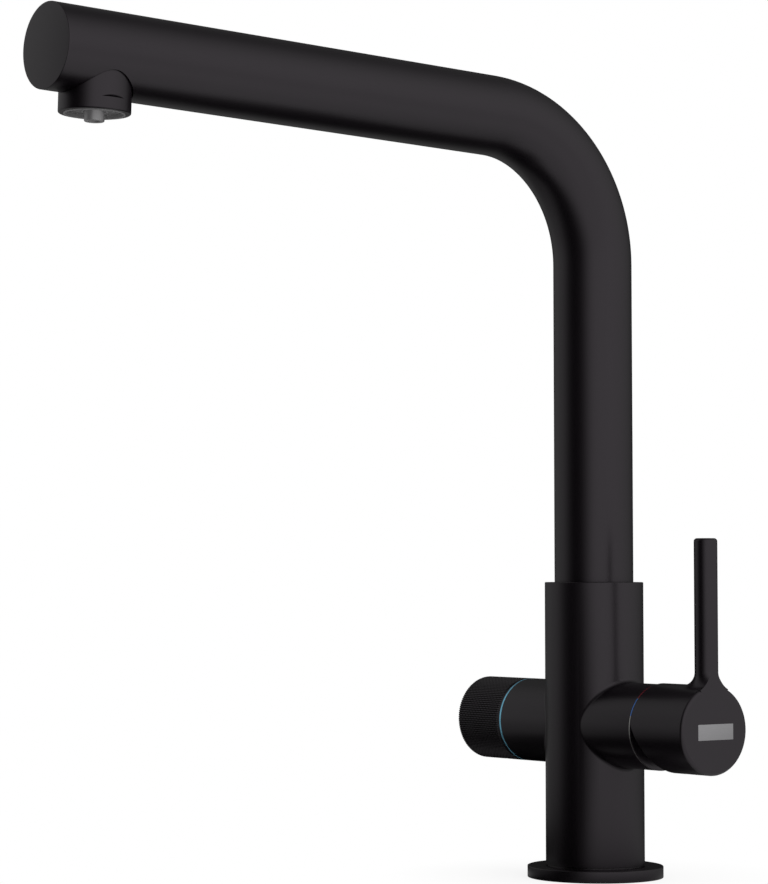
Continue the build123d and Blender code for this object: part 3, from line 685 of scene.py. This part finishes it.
# %% Ribbed disc
DISC_TOP, RIB_TOP, DISC_END = 9.6, 19.2, 20.2
disc_outline = rounded([
    (3.8, DISC_TOP), (10.95, DISC_TOP), (10.95, DISC_END), (10.6, DISC_END), (10.6, 21.2),
    (9.9, 21.2), (9.9, RIB_TOP), (4.6, RIB_TOP), (4.6, DISC_END), (3.8, DISC_END),
], {4: 0.15, 5: 0.15, 8: 0.1, 9: 0.1}, 3)
ribbed_disc = lathe("outlet_disc", disc_outline, 120, outlet)
for inside, outside in ((6.3, 6.6), (8.3, 8.6)):
    hoop = lathe("hoop", rectangle(inside, 19.0, outside, 19.9), 96, outlet)
    combine(ribbed_disc, [hoop], "UNION")
spokes = grow("spokes", tree, {
    "Rib count": 48, "Rib length": 5.6 * MM, "Rib width": 0.3 * MM, "Rib height": 0.9 * MM,
    "Rib middle": 7.3 * MM,
})
spokes.data.transform(Matrix.Translation(Vector((0, 0, 19.4)) * MM))
in_metres = outlet.copy()
in_metres.translation = outlet.translation * MM
spokes.data.transform(in_metres)
shade(ribbed_disc)
print("spokes", len(spokes.data.polygons), "faces")

# %% Nozzle
NOZZLE_RADIUS, NOZZLE_TIP_RADIUS, NOZZLE_BORE, NOZZLE_END = 3.75, 3.5, 2.2, 23.6
nozzle_outline = rounded([
    (NOZZLE_BORE, DISC_TOP), (NOZZLE_RADIUS, DISC_TOP), (NOZZLE_RADIUS, 18.0),
    (NOZZLE_TIP_RADIUS, 18.4), (NOZZLE_TIP_RADIUS, NOZZLE_END), (NOZZLE_BORE, NOZZLE_END),
], {4: 0.35, 5: 0.3}, 5)
nozzle = lathe("outlet_nozzle", nozzle_outline, 96, outlet)
combine(nozzle, [bar(3.05, 9.0, 12.65, outlet, 64)], "DIFFERENCE")  # seat of the inner tube
shade(nozzle)
print("nozzle", in_mm(nozzle), "mm")

# %% [markdown]
# ## The mixer handle
#
# The handle is a cup that turns on the cartridge, with a flat front and a round lever that
# grows out of its rim. The lever's root is wide and hollow, made by the same rolling-ball
# rule as the arms, and a plane cuts it flush with the front of the cup.

# %% Cup of the handle
HANDLE_RADIUS, HANDLE_BORE, HANDLE_EDGE = 16.4, 14.1, 1.3
HANDLE_FACE, HANDLE_FLOOR, HANDLE_BACK = 65.2, 61.2, 37.65
BOSS_RADIUS, BOSS_START = 9, 44
cup_outline = rounded([
    (0, BOSS_START), (BOSS_RADIUS, BOSS_START), (BOSS_RADIUS, HANDLE_FLOOR),
    (HANDLE_BORE, HANDLE_FLOOR), (HANDLE_BORE, HANDLE_BACK), (HANDLE_RADIUS, HANDLE_BACK),
    (HANDLE_RADIUS, HANDLE_FACE), (0, HANDLE_FACE),
], {4: 0.15, 5: 0.25, 6: HANDLE_EDGE}, 8)
handle = lathe("handle", cup_outline, 240, mixer)
print("cup", in_mm(handle), "mm")

# %% Lever
LEVER_RADIUS, LEVER_PLACE, LEVER_TOP, LEVER_BLEND, LEVER_EDGE = 4.3, 61.1, 70.0, 6.0, 1.2
lever_place = mixer @ Matrix.Translation((0, 0, LEVER_PLACE))
lever = rooted_stem("lever", HANDLE_RADIUS, LEVER_RADIUS, LEVER_BLEND, LEVER_TOP, LEVER_EDGE,
                    lever_place)
front_cut = block(rectangle(-30, -30, 30, 90), HANDLE_FACE, HANDLE_FACE + 20, mixer)
inside_cut = bar(HANDLE_BORE + 0.7, 30, HANDLE_FLOOR + 0.3, mixer, 240)
combine(lever, [front_cut, inside_cut], "DIFFERENCE")
print("lever", in_mm(lever), "mm")

# %% Join and cut the handle
combine(handle, [lever], "UNION")

# The back is cut away below, so that the cup clears its arm when the lever tilts
TILT, PIVOT, DROP = math.radians(25), 29.0, 50.0
relief_start = (HANDLE_BACK - PIVOT) * math.tan(TILT / 2)
relief_reach = (relief_start + DROP) * math.tan(TILT)
wedge_place = mixer @ Matrix(((0, 0, -1, 0), (0, 1, 0, 0), (1, 0, 0, 0), (0, 0, 0, 1)))
wedge = block([
    (HANDLE_BACK - DROP, relief_start), (HANDLE_BACK - DROP, -DROP),
    (HANDLE_BACK + relief_reach, -DROP), (HANDLE_BACK, relief_start),
], -30, 30, wedge_place)

# A square hole for the spindle, and a round one below for the screw that holds it
GRUB_BORE, GRUB_PLACE, SPINDLE_HALF, SPINDLE_END = 2.45, 53.2, 3.55, 56.05
below = mixer @ Matrix.Translation((0, 0, GRUB_PLACE)) @ Matrix.Rotation(math.radians(90), 4, "X")
square = block(rectangle(-SPINDLE_HALF, -SPINDLE_HALF, SPINDLE_HALF, SPINDLE_HALF),
               40.0, SPINDLE_END, mixer)
combine(handle, [wedge, square, bar(GRUB_BORE, 0.0, 18.0, below, 48)], "DIFFERENCE")
print("handle", in_mm(handle), "mm,", len(handle.data.polygons), "faces")

# %% [markdown]
# ## Rings between the arms and the controls
#
# A thin steel ring with a blue and a red mark tells cold from hot on the mixer side, with
# a black washer behind it. The marks are enamel: smooth, even and a little glossy. The
# other side has a light blue ring, the sign for filtered water: moulded plastic under a
# blue lacquer with metal flakes, so it shines like tinted metal and dims where it faces
# the dark. Turned steel shows fine lines round its axis, so its noise is squeezed across
# the ring.

# %% Steel, marks and blue lacquer
def bare_metal(name, colour, line_mm, rough_low, rough_high, relief_mm):
    """Bare metal whose marks have the sizes given along X, Y and Z."""
    material, tree, shader = new_material(name)
    place = add_node(tree, "ShaderNodeTexCoord")
    squeeze = add_node(tree, "ShaderNodeMapping", {
        "Vector": place.outputs["Object"], "Scale": [1 / (size * MM) for size in line_mm],
    })
    lines = add_node(tree, "ShaderNodeTexNoise", {
        "Vector": squeeze.outputs[0], "Scale": 1.0, "Detail": 2.0,
    }).outputs["Fac"]
    tree.links.new(spread(tree, lines, rough_low, rough_high), shader.inputs["Roughness"])
    bump(tree, shader, lines, relief_mm)
    shader.inputs["Base Color"].default_value = linear(colour)
    shader.inputs["Metallic"].default_value = 1.0
    return material


turned_steel = bare_metal("turned_stainless_steel", "#adacaa", (0.05, 50 / 3, 50 / 3), 0.25, 0.38,
                          0.002)
blue_lacquer = moulded("light_blue_metallic_lacquer", "#90dcfc", "#96e2ff", 0.6, 0.28, 0.34, 0.001,
                       metallic=0.85)
cold_enamel = moulded("cold_blue_enamel", "#28589a", "#2c5ea0", 0.5, 0.3, 0.36, 0.001)
hot_enamel = moulded("hot_red_enamel", "#640e1a", "#6b131f", 0.5, 0.3, 0.36, 0.001)
print("ring materials ready")

# %% Rings
RING_INNER, RING_END = 12.8, ARM_LENGTH + 0.8
BAND_FOOT, BAND_END = 15.6, RING_END - 0.3
band_outline = rounded(rectangle(BAND_FOOT, ARM_LENGTH, ARM_RADIUS, BAND_END),
                       {1: 0.05, 2: 0.05}, 2)
washer_outline = rounded([
    (RING_INNER, ARM_LENGTH), (BAND_FOOT, ARM_LENGTH), (BAND_FOOT, BAND_END),
    (ARM_RADIUS, BAND_END), (ARM_RADIUS, RING_END), (RING_INNER, RING_END),
], {4: 0.05}, 2)
blue_outline = rounded(rectangle(RING_INNER, ARM_LENGTH, ARM_RADIUS, RING_END),
                       {1: 0.08, 2: 0.08}, 2)
mixer_ring = shade(lathe("mixer_ring", band_outline, 192, mixer))
mixer_washer = shade(lathe("mixer_washer", washer_outline, 192, mixer))
filter_ring = shade(lathe("filter_ring_blue", blue_outline, 192, filtered))
print("rings", in_mm(mixer_ring), in_mm(mixer_washer), in_mm(filter_ring), "mm")

# %% Cold and hot marks
def mark(name, low, high, steps=24):
    """A thin coloured strip on the steel ring, between two angles up from the front."""
    section = rectangle(ARM_RADIUS - 0.1, ARM_LENGTH + 0.04, ARM_RADIUS + 0.03, BAND_END)
    corners = []
    for k in range(steps + 1):
        angle = math.radians(180 - (low + (high - low) * k / steps))
        corners += [(r * math.cos(angle), r * math.sin(angle), h) for r, h in section]
    faces = [(0, 1, 2, 3), tuple(range(steps * 4, steps * 4 + 4))]
    for k in range(steps):
        for i in range(4):
            n = (i + 1) % 4
            faces.append((k * 4 + i, k * 4 + n, k * 4 + 4 + n, k * 4 + 4 + i))
    return shade(make_piece(name, corners, faces, mixer))


cold_mark = mark("cold_mark", 17, 43)
hot_mark = mark("hot_mark", 44, 72)
print("marks", in_mm(cold_mark), in_mm(hot_mark), "mm")

# %% [markdown]
# ## The knurled knob
#
# The filtered water knob is knurled for wet fingers. Fine teeth stand in rows along the
# knob, each row parted from the next by a groove, and every row is notched at even steps.
# The notches of one row sit beside the teeth of the next. That is a rule on a cylinder,
# so a Geometry Nodes tree makes it: every point of a finely divided bar sinks by how near
# it is to a groove or a notch. A plain band is left at the foot of the knob.

# %% Knurling tree
tree, size = new_tree("knurled bar", {
    "Around": ("Int", 480), "Along": ("Int", 103), "Radius": ("Float", 0.016),
    "Length": ("Float", 0.025), "Rows around": ("Float", 120.0), "Tooth length": ("Float", 0.002),
    "Depth": ("Float", 0.0004), "Groove share": ("Float", 0.5), "Notch share": ("Float", 0.4),
    "Edge": ("Float", 0.0002), "Plain band": ("Float", 0.001),
})
plain_bar = add_node(tree, "GeometryNodeMeshCylinder", {
    "Vertices": size["Around"], "Side Segments": size["Along"], "Radius": size["Radius"],
    "Depth": size["Length"],
}, fill_type="NGON")
position = add_node(tree, "GeometryNodeInputPosition").outputs[0]
known = {socket.name: socket for socket in size}
known.update(add_node(tree, "ShaderNodeSeparateXYZ", {0: position}).outputs.items())

# Each row is one sum: the name of its result, the operation, and a name or number for each term
sums = [
    ("angle", "ARCTAN2", "Y", "X"),
    ("turn part", "DIVIDE", "angle", 2 * math.pi),
    ("rows passed", "MULTIPLY", "turn part", "Rows around"),
    ("row", "FLOOR", "rows passed", 0),
    ("odd row", "FLOORED_MODULO", "row", 2),
    ("stagger", "MULTIPLY", "odd row", 0.5),
    ("half length", "MULTIPLY", "Length", 0.5),
    ("from foot", "ADD", "Z", "half length"),
    ("teeth along", "DIVIDE", "from foot", "Tooth length"),
    ("teeth passed", "ADD", "teeth along", "stagger"),
    ("half off groove", "PINGPONG", "rows passed", 0.5),
    ("off groove", "MULTIPLY", "half off groove", 2),
    ("half off notch", "PINGPONG", "teeth passed", 0.5),
    ("off notch", "MULTIPLY", "half off notch", 2),
    ("up from groove", "DIVIDE", "off groove", "Groove share"),
    ("notch floor", "SUBTRACT", 1, "Notch share"),
    ("up from notch", "ADD", "notch floor", "off notch"),
    ("up from both", "MINIMUM", "up from groove", "up from notch"),
    ("tooth", "MINIMUM", "up from both", 1),
    ("past band", "GREATER_THAN", "from foot", "Plain band"),
    ("shown tooth", "MULTIPLY", "tooth", "past band"),
    ("below tooth", "SUBTRACT", 1, "shown tooth"),
    ("sunk", "MULTIPLY", "below tooth", "Depth"),
    ("off middle", "ABSOLUTE", "Z", 0),
    ("nearly at end", "MULTIPLY", "Length", 0.4999),
    ("at end", "GREATER_THAN", "off middle", "nearly at end"),
    ("rounded off", "MULTIPLY", "at end", "Edge"),
    ("lost", "ADD", "sunk", "rounded off"),
    ("lost share", "DIVIDE", "lost", "Radius"),
    ("kept share", "SUBTRACT", 1, "lost share"),
    ("new X", "MULTIPLY", "X", "kept share"),
    ("new Y", "MULTIPLY", "Y", "kept share"),
]
for result, operation, first, second in sums:
    terms = {0: known.get(first, first), 1: known.get(second, second)}
    known[result] = add_node(tree, "ShaderNodeMath", terms, operation=operation).outputs[0]
spot = add_node(tree, "ShaderNodeCombineXYZ", {0: known["new X"], 1: known["new Y"], 2: known["Z"]})
moved = add_node(tree, "GeometryNodeSetPosition", {
    "Geometry": plain_bar.outputs[0], "Position": spot.outputs[0],
})
end_tree(tree, moved.outputs[0], satin_black)
print("knurling tree has", len(tree.nodes), "nodes")

# %% Knurled knob
KNOB_RADIUS, KNOB_BACK, KNOB_END = 16.0, 37.65, 62.5
KNURL_ROWS, TOOTH_LENGTH, KNURL_DEPTH = 120.0, 1.93, 0.36
knob = grow("knob", tree, {
    "Around": 480, "Along": 103, "Radius": KNOB_RADIUS * MM, "Length": (KNOB_END - KNOB_BACK) * MM,
    "Rows around": KNURL_ROWS, "Tooth length": TOOTH_LENGTH * MM, "Depth": KNURL_DEPTH * MM,
    "Groove share": 0.5, "Notch share": 0.26, "Edge": 0.1 * MM, "Plain band": 1.3 * MM,
})
knob_place = filtered @ Matrix.Translation((0, 0, (KNOB_BACK + KNOB_END) / 2))
knob_place.translation *= MM
knob.data.transform(knob_place)
tidy_mesh(knob.data)
print("knob", in_mm(knob), "mm,", KNURL_ROWS, "rows of teeth")

# %% Hollow of the knob
KNOB_BORE, KNOB_FRONT, KNOB_GRUB_PLACE = 13.8, 3.5, 49.0
KNOB_BOSS_RADIUS, KNOB_BOSS_START = 8.0, 42.0
STEM_BORE, STEM_FLAT, STEM_END = 4.05, -3.15, 55.05
knob_below = filtered @ Matrix.Translation((0, 0, KNOB_GRUB_PLACE))
knob_below = knob_below @ Matrix.Rotation(math.radians(90), 4, "X")
hollow = bar(KNOB_BORE, KNOB_BACK - 1, KNOB_END - KNOB_FRONT, filtered, 120)
boss = bar(KNOB_BOSS_RADIUS, KNOB_BOSS_START, KNOB_END - 2.5, filtered)
combine(hollow, [boss], "DIFFERENCE")
stem_bore = bar(STEM_BORE, KNOB_BOSS_START - 1, STEM_END, filtered, 64)
stem_flat = block(rectangle(-6, -6, 6, STEM_FLAT), KNOB_BOSS_START - 1, 56, filtered)
combine(stem_bore, [stem_flat], "DIFFERENCE")
combine(knob, [hollow, stem_bore, bar(GRUB_BORE, 0, 18, knob_below, 48)], "DIFFERENCE")
shade(knob, 30)
print("knob", in_mm(knob), "mm,", len(knob.data.polygons), "faces")

# %% [markdown]
# ## The bare plate
#
# A small flat plate of satin aluminium is let into the front of the handle. It is left
# bare. Its grain runs along its length, as it does on brushed strip.

# %% Plate
brushed_aluminium = bare_metal("brushed_aluminium", "#9c9b9d", (0.3, 4, 0.12), 0.4, 0.55, 0.002)
HALF_LONG, HALF_HIGH, PLATE_FOOT, PLATE_FACE = 8.75, 2.9, 64.9, 65.19
plate_outline = rounded(rectangle(-HALF_LONG, -HALF_HIGH, HALF_LONG, HALF_HIGH),
                        {0: 0.15, 1: 0.15, 2: 0.15, 3: 0.15}, 3)
plate_place = mixer @ Matrix.Translation((0.6, -0.5, 0))
plate = shade(slab("front_plate", plate_outline, PLATE_FOOT, PLATE_FACE, 0.04, plate_place, 3))
recess_outline = [(x * 1.005, y * 1.015) for x, y in plate_outline]
combine(handle, [block(recess_outline, PLATE_FOOT, PLATE_FACE + 0.81, plate_place)], "DIFFERENCE")
even_normals(handle)
print("plate", in_mm(plate, 2), "mm")

# %% [markdown]
# ## Finishes of the parts inside
#
# The parts inside show only through narrow gaps, when the handle tilts, or when the tap
# is taken apart, but each still has its real finish. Turned brass and plated screws shine
# with fine uneven marks. Rubber is matt, lapped ceramic is pale and glassy, and the
# moulded nylon, acetal and polyethylene have a dull, even skin.

# %% Inside materials
turned_brass = bare_metal("turned_brass", "#d9b978", (0.5, 0.5, 0.5), 0.28, 0.42, 0.003)
bright_steel = bare_metal("zinc_plated_steel", "#b4b4b6", (0.4, 0.4, 0.4), 0.25, 0.4, 0.002)
black_rubber = moulded("black_nitrile_rubber", "#131313", "#1b1b1b", 0.5, 0.55, 0.7, 0.004)
pale_ceramic = moulded("polished_alumina", "#ece9e0", "#f3f0e8", 1.5, 0.1, 0.16, 0.0005)
white_nylon = moulded("natural_nylon", "#d8d6cd", "#e2e0d8", 0.8, 0.4, 0.5, 0.003)
black_acetal = moulded("black_acetal", "#1a1a1b", "#222223", 0.8, 0.4, 0.5, 0.003)
clear_tube = moulded("natural_polyethylene", "#cfcfca", "#dcdcd8", 1.0, 0.4, 0.5, 0.003)
print(len(bpy.data.materials), "materials")

# %% Give every CAD part its finish
finishes = {
    satin_black: ["base_flange", "tap_body", "spout_tube", "spout_end_cap", "aerator_collar",
                  "mixer_handle", "filter_knob"],
    turned_brass: ["spout_spigot", "aerator_socket", "cartridge_nut", "cartridge_spindle",
                   "filter_valve_housing", "filter_stem"],
    turned_steel: ["temperature_ring"],
    blue_lacquer: ["filter_ring"],
    bright_steel: ["spout_lock_screw", "cartridge_pivot_pin", "handle_screw", "filter_knob_screw"],
    black_rubber: ["base_seal", "filter_tube_seal", "spout_o_rings", "aerator_washer",
                   "cartridge_seals", "filter_valve_seal", "filter_stem_seal"],
    pale_ceramic: ["cartridge_fixed_disc", "cartridge_moving_disc", "filter_fixed_disc",
                   "filter_moving_disc"],
    white_nylon: ["cartridge_housing", "cartridge_driver", "cartridge_carrier"],
    black_acetal: ["spout_bearing_ring"],
    clear_tube: ["filter_tube"],
    grey_abs: ["aerator_insert"],
    silvered_nylon: ["filter_nozzle"],
}
for material, names in finishes.items():
    for name in names:
        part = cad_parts[name]
        part.data.materials.clear()
        part.data.materials.append(material)
left_out = set(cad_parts) - {name for names in finishes.values() for name in names}
print("parts without a finish:", sorted(left_out))

# %% [markdown]
# ## Which part each piece stands for
#
# Every new piece moves with one body of the tap and takes the place of its CAD part.

# %% Ride and replace
dressed = [
    (base_ring, satin_black, "body", ["base_flange"], "black_coating"),
    (column, satin_black, "body", ["tap_body"], "black_coating"),
    (mixer_ring, turned_steel, "body", ["temperature_ring"], "ring_steel"),
    (mixer_washer, satin_black, "body", [], "black_coating"),
    (cold_mark, cold_enamel, "body", [], "ring_steel"),
    (hot_mark, hot_enamel, "body", [], "ring_steel"),
    (filter_ring, blue_lacquer, "body", ["filter_ring"], "ring_blue"),
    (spout, satin_black, "spout", ["spout_tube", "spout_end_cap"], "black_coating"),
    (collar, satin_black, "spout", ["aerator_collar"], "black_coating"),
    (ribbed_disc, grey_abs, "spout", ["aerator_insert"], "outlet_plastic"),
    (spokes, grey_abs, "spout", [], "outlet_plastic"),
    (nozzle, silvered_nylon, "spout", ["filter_nozzle"], "nozzle_plastic"),
    (handle, satin_black, "mixer_lever", ["mixer_handle"], "black_coating"),
    (plate, brushed_aluminium, "mixer_lever", [], "black_coating"),
    (knob, satin_black, "filter_control", ["filter_knob"], "knurled_black"),
]
for piece, material, body, nodes, slot in dressed:
    piece.data.materials.clear()
    piece.data.materials.append(material)
    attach(piece, body)
    if nodes:
        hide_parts(*nodes)
print(len(dressed), "pieces dressed")

# %% [markdown]
# ## The studio
#
# The floor is pale paper and the surround is plain white, for the eye and for what metal
# and glass show. A glossy black thing would look grey in so much white, so its
# reflections are painted on a glowing dome that only reflections see. It glows white from
# the front and the right, a narrow grey band on the left lights that side faintly, and a
# little glow comes from the top and from the ground behind. Its ground glows pale in line
# with the bright parts and is painted darker close to the tap, darkest under the knob on
# the left, as painted shade. The dome is a bowl made of rings of points, and each point
# carries its brightness, read from short tables of a direction, a height or a distance.
# Only reflections see the dome, so it darkens neither the paper nor the light.

# %% Floor
FLOOR_SIZE = 3.0  # metres from the middle to each side
SHADOW_START, SHADOW_END, SHADOW_WHITE = 0.025, 0.08, 0.85
floor_mesh = bpy.data.meshes.new("floor")
floor_corners = rectangle(-FLOOR_SIZE, -FLOOR_SIZE, FLOOR_SIZE, FLOOR_SIZE)
floor_mesh.from_pydata([(x, y, 0) for x, y in floor_corners], [], [(0, 1, 2, 3)])
floor = bpy.data.objects.new("floor", floor_mesh)
bpy.context.scene.collection.objects.link(floor)


def shown_rays(tree):
    """1 for the rays that show a background: straight ones, reflections and through glass."""
    path = add_node(tree, "ShaderNodeLightPath").outputs
    seen = path["Is Camera Ray"]
    for ray in ("Is Glossy Ray", "Is Transmission Ray"):
        either = add_node(tree, "ShaderNodeMath", {0: seen, 1: path[ray]}, operation="MAXIMUM")
        seen = either.outputs[0]
    return seen


pale_floor = bpy.data.materials.new("pale_paper")
pale_floor.use_nodes = True
tree = pale_floor.node_tree
tree.nodes.clear()
paper = add_node(tree, "ShaderNodeBsdfDiffuse", {"Color": linear("#fbfbfb")})
white = add_node(tree, "ShaderNodeEmission", {"Color": (1, 1, 1, 1), "Strength": 1.0})
place = add_node(tree, "ShaderNodeTexCoord")
distance = add_node(tree, "ShaderNodeVectorMath", {0: place.outputs["Object"]}, operation="LENGTH")
far = add_node(tree, "ShaderNodeMapRange", {
    "Value": distance.outputs["Value"], "From Min": SHADOW_START, "From Max": SHADOW_END,
    "To Min": SHADOW_WHITE, "To Max": 1.0,
})
whiter = add_node(tree, "ShaderNodeMath", {0: far.outputs[0], 1: shown_rays(tree)},
                  operation="MULTIPLY")
whole = add_node(tree, "ShaderNodeMixShader", {
    0: whiter.outputs[0], 1: paper.outputs[0], 2: white.outputs[0],
})
add_node(tree, "ShaderNodeOutputMaterial", {"Surface": whole.outputs[0]})
floor_mesh.materials.append(pale_floor)
print("floor", 2 * FLOOR_SIZE, "m wide")

# %% White surround
world = bpy.data.worlds.new("studio")
bpy.context.scene.world = world
world.use_nodes = True
tree = world.node_tree
tree.nodes.clear()
ambient = add_node(tree, "ShaderNodeBackground", {"Color": (1, 1, 1, 1), "Strength": 0.55})
backdrop = add_node(tree, "ShaderNodeBackground", {"Color": (1, 1, 1, 1), "Strength": 1.0})
sky = add_node(tree, "ShaderNodeMixShader", {
    0: shown_rays(tree), 1: ambient.outputs[0], 2: backdrop.outputs[0],
})
add_node(tree, "ShaderNodeOutputWorld", {"Surface": sky.outputs[0]})
print("sky nodes", len(tree.nodes))

# %% Tables of the painted reflections' brightness
# Compass in degrees, 0 behind the camera and positive to its right
BRIGHT_REFLECTION = [
    (-60, 0.0), (-42, 0.02), (-32, 0.19), (-21, 0.54), (-10, 0.88), (0, 1.0), (50, 1.0),
    (64, 0.93), (75, 0.85), (86, 0.74), (100, 0.55), (119, 0.29), (139, 0.09), (155, 0.03),
    (180, 0.01),
]
GREY_REFLECTION = [
    (-180, 0.04), (-165, 0.07), (-155, 0.14), (-135, 0.33), (-120, 0.41), (-106, 0.53),
    (-92, 0.43), (-80, 0.16), (-68, 0.02), (-42, 0.02), (-30, 0.0),
]
BACK_REFLECTION = [(-180, 1.0), (-160, 1.0), (-140, 0.0), (150, 0.0), (170, 1.0)]
# Height in degrees on the walls
WHITE_HEIGHT = [
    (0, 0.85), (5, 1.0), (22, 1.0), (35, 0.92), (45, 0.82), (55, 0.65), (70, 0.36), (90, 0.15),
]
GREY_HEIGHT = [(0, 0.8), (8, 0.95), (16, 0.85), (30, 0.82), (50, 0.68), (90, 0.2)]
TOP_GLOW = [(12, 0.0), (25, 0.04), (40, 0.07), (60, 0.09), (90, 0.1)]
# Metres from the tap on the dome's ground; the dark values near the tap are painted shade
WHITE_GROUND = [
    (0.03, 0.28), (0.06, 0.42), (0.085, 0.72), (0.1, 0.8), (0.14, 0.78), (0.2, 0.74),
    (0.275, 0.8), (0.365, 0.85), (0.5, 0.92), (0.8, 0.9), (2.4, 0.85),
]
GREY_GROUND = [
    (0.03, 0.5), (0.045, 0.4), (0.06, 0.05), (0.1, 0.03), (0.14, 0.12), (0.165, 0.42),
    (0.2, 0.52), (0.28, 0.55), (0.5, 0.66), (1.0, 0.72), (2.4, 0.8),
]
BACK_GROUND = [(0.2, 0.0), (0.35, 0.13), (1.0, 0.13), (2.4, 0.05)]
# Painted shade under the knob: there the grey ground keeps to the compass directions of this table
KNOB_SHADE_NEAR, KNOB_SHADE_FAR = 0.05, 0.2
KNOB_PAINTED_SHADE = [(-160, 0.0), (-140, 1.0)]
print("tables with", len(BRIGHT_REFLECTION), "and", len(GREY_REFLECTION), "compass directions")

# %% How bright the painted reflections are in each direction
def between(stops, value):
    """Reads a line through (place, brightness) stops."""
    for (low, first), (high, second) in zip(stops, stops[1:]):
        if value <= high:
            return first + (second - first) * max(0.0, (value - low) / (high - low))
    return stops[-1][1]


def wall_glow(compass, rise):
    """Painted reflection brightness of the dome's wall at a compass direction and a height in
    degrees.
    """
    return (between(BRIGHT_REFLECTION, compass) * between(WHITE_HEIGHT, rise)
            + between(GREY_REFLECTION, compass) * between(GREY_HEIGHT, rise)
            + between(TOP_GLOW, rise))


def ground_glow(compass, distance):
    """Painted reflection brightness of the dome's ground at a compass direction and a distance in
    metres, darker near the tap and under the knob as painted shade.
    """
    grey = between(GREY_REFLECTION, compass) * between(GREY_GROUND, distance)
    if KNOB_SHADE_NEAR < distance < KNOB_SHADE_FAR:
        grey *= between(KNOB_PAINTED_SHADE, compass)
    return (between(BRIGHT_REFLECTION, compass) * between(WHITE_GROUND, distance) + grey
            + between(BACK_REFLECTION, compass) * between(BACK_GROUND, distance))


print("to the right", round(wall_glow(74, 0), 2), "behind", round(wall_glow(180, 0), 2))

# %% Dome of painted reflections
DOME_RADIUS, OVER_FLOOR, COMPASS_STEP, RISE_STEP = 2.4, 0.00005, 4, 5
GROUND_RINGS = (0.02, 0.03, 0.045, 0.06, 0.085, 0.11, 0.14, 0.165, 0.2, 0.275, 0.365, 0.5, 0.8, 1.4)
corners, glows = [], []


def add_ring(distance, height, brightness):
    """Adds a ring of points round the tap, each with its brightness."""
    for compass in range(-180, 180, COMPASS_STEP):
        turned = math.radians(compass)
        way = math.cos(turned) * -level + math.sin(turned) * right
        corners.append((way.x * distance, way.y * distance, height + OVER_FLOOR))
        glows.append(brightness(compass))


for distance in GROUND_RINGS:
    add_ring(distance, 0.0, lambda compass: ground_glow(compass, distance))
for rise in range(0, 90, RISE_STEP):
    slope = math.radians(rise)
    add_ring(DOME_RADIUS * math.cos(slope), DOME_RADIUS * math.sin(slope),
             lambda compass: wall_glow(compass, rise))
count = 360 // COMPASS_STEP
faces = []
for here in range(0, len(corners) - count, count):
    for i in range(count):
        n = (i + 1) % count
        faces.append((here + i, here + n, here + count + n, here + count + i))
faces.append(tuple(range(len(corners) - count, len(corners))))
painted_reflection_mesh = bpy.data.meshes.new("painted_reflection_dome")
painted_reflection_mesh.from_pydata(corners, [], faces)
painted_reflection_mesh.attributes.new("glow", "FLOAT", "POINT").data.foreach_set("value", glows)
painted_reflection_dome = bpy.data.objects.new("painted_reflection_dome", painted_reflection_mesh)
bpy.context.scene.collection.objects.link(painted_reflection_dome)
print("painted_reflection_dome", len(faces), "faces")

# %% Glow of the painted reflections
painted_reflection_glow = bpy.data.materials.new("painted_reflection_glow")
painted_reflection_glow.use_nodes = True
tree = painted_reflection_glow.node_tree
tree.nodes.clear()
glow = add_node(tree, "ShaderNodeAttribute", attribute_name="glow")
lit = add_node(tree, "ShaderNodeEmission", {"Color": (1, 1, 1, 1), "Strength": glow.outputs["Fac"]})
add_node(tree, "ShaderNodeOutputMaterial", {"Surface": lit.outputs[0]})
painted_reflection_glow.cycles.emission_sampling = "NONE"
painted_reflection_mesh.materials.append(painted_reflection_glow)
painted_reflection_dome.visible_camera = painted_reflection_dome.visible_diffuse = painted_reflection_dome.visible_transmission = False
painted_reflection_dome.visible_volume_scatter = painted_reflection_dome.visible_shadow = False
print("glow from", round(min(glows), 3), "to", round(max(glows), 3))

# %% Soft lamp at the front right
LAMP_AIM = Vector((0, 0, 0.15))
lamp_data = bpy.data.lights.new("soft_lamp", "AREA")
lamp_data.shape = "RECTANGLE"
lamp_data.size, lamp_data.size_y = 1.6, 1.2
lamp_data.energy = 20.0
lamp = bpy.data.objects.new("soft_lamp", lamp_data)
lamp.location = -level * 0.9 + right * 1.2 + up * 1.2
lamp.rotation_euler = (LAMP_AIM - lamp.location).to_track_quat("-Z", "Y").to_euler()
lamp.visible_glossy = False
bpy.context.scene.collection.objects.link(lamp)
print("lamp", lamp_data.energy, "W")
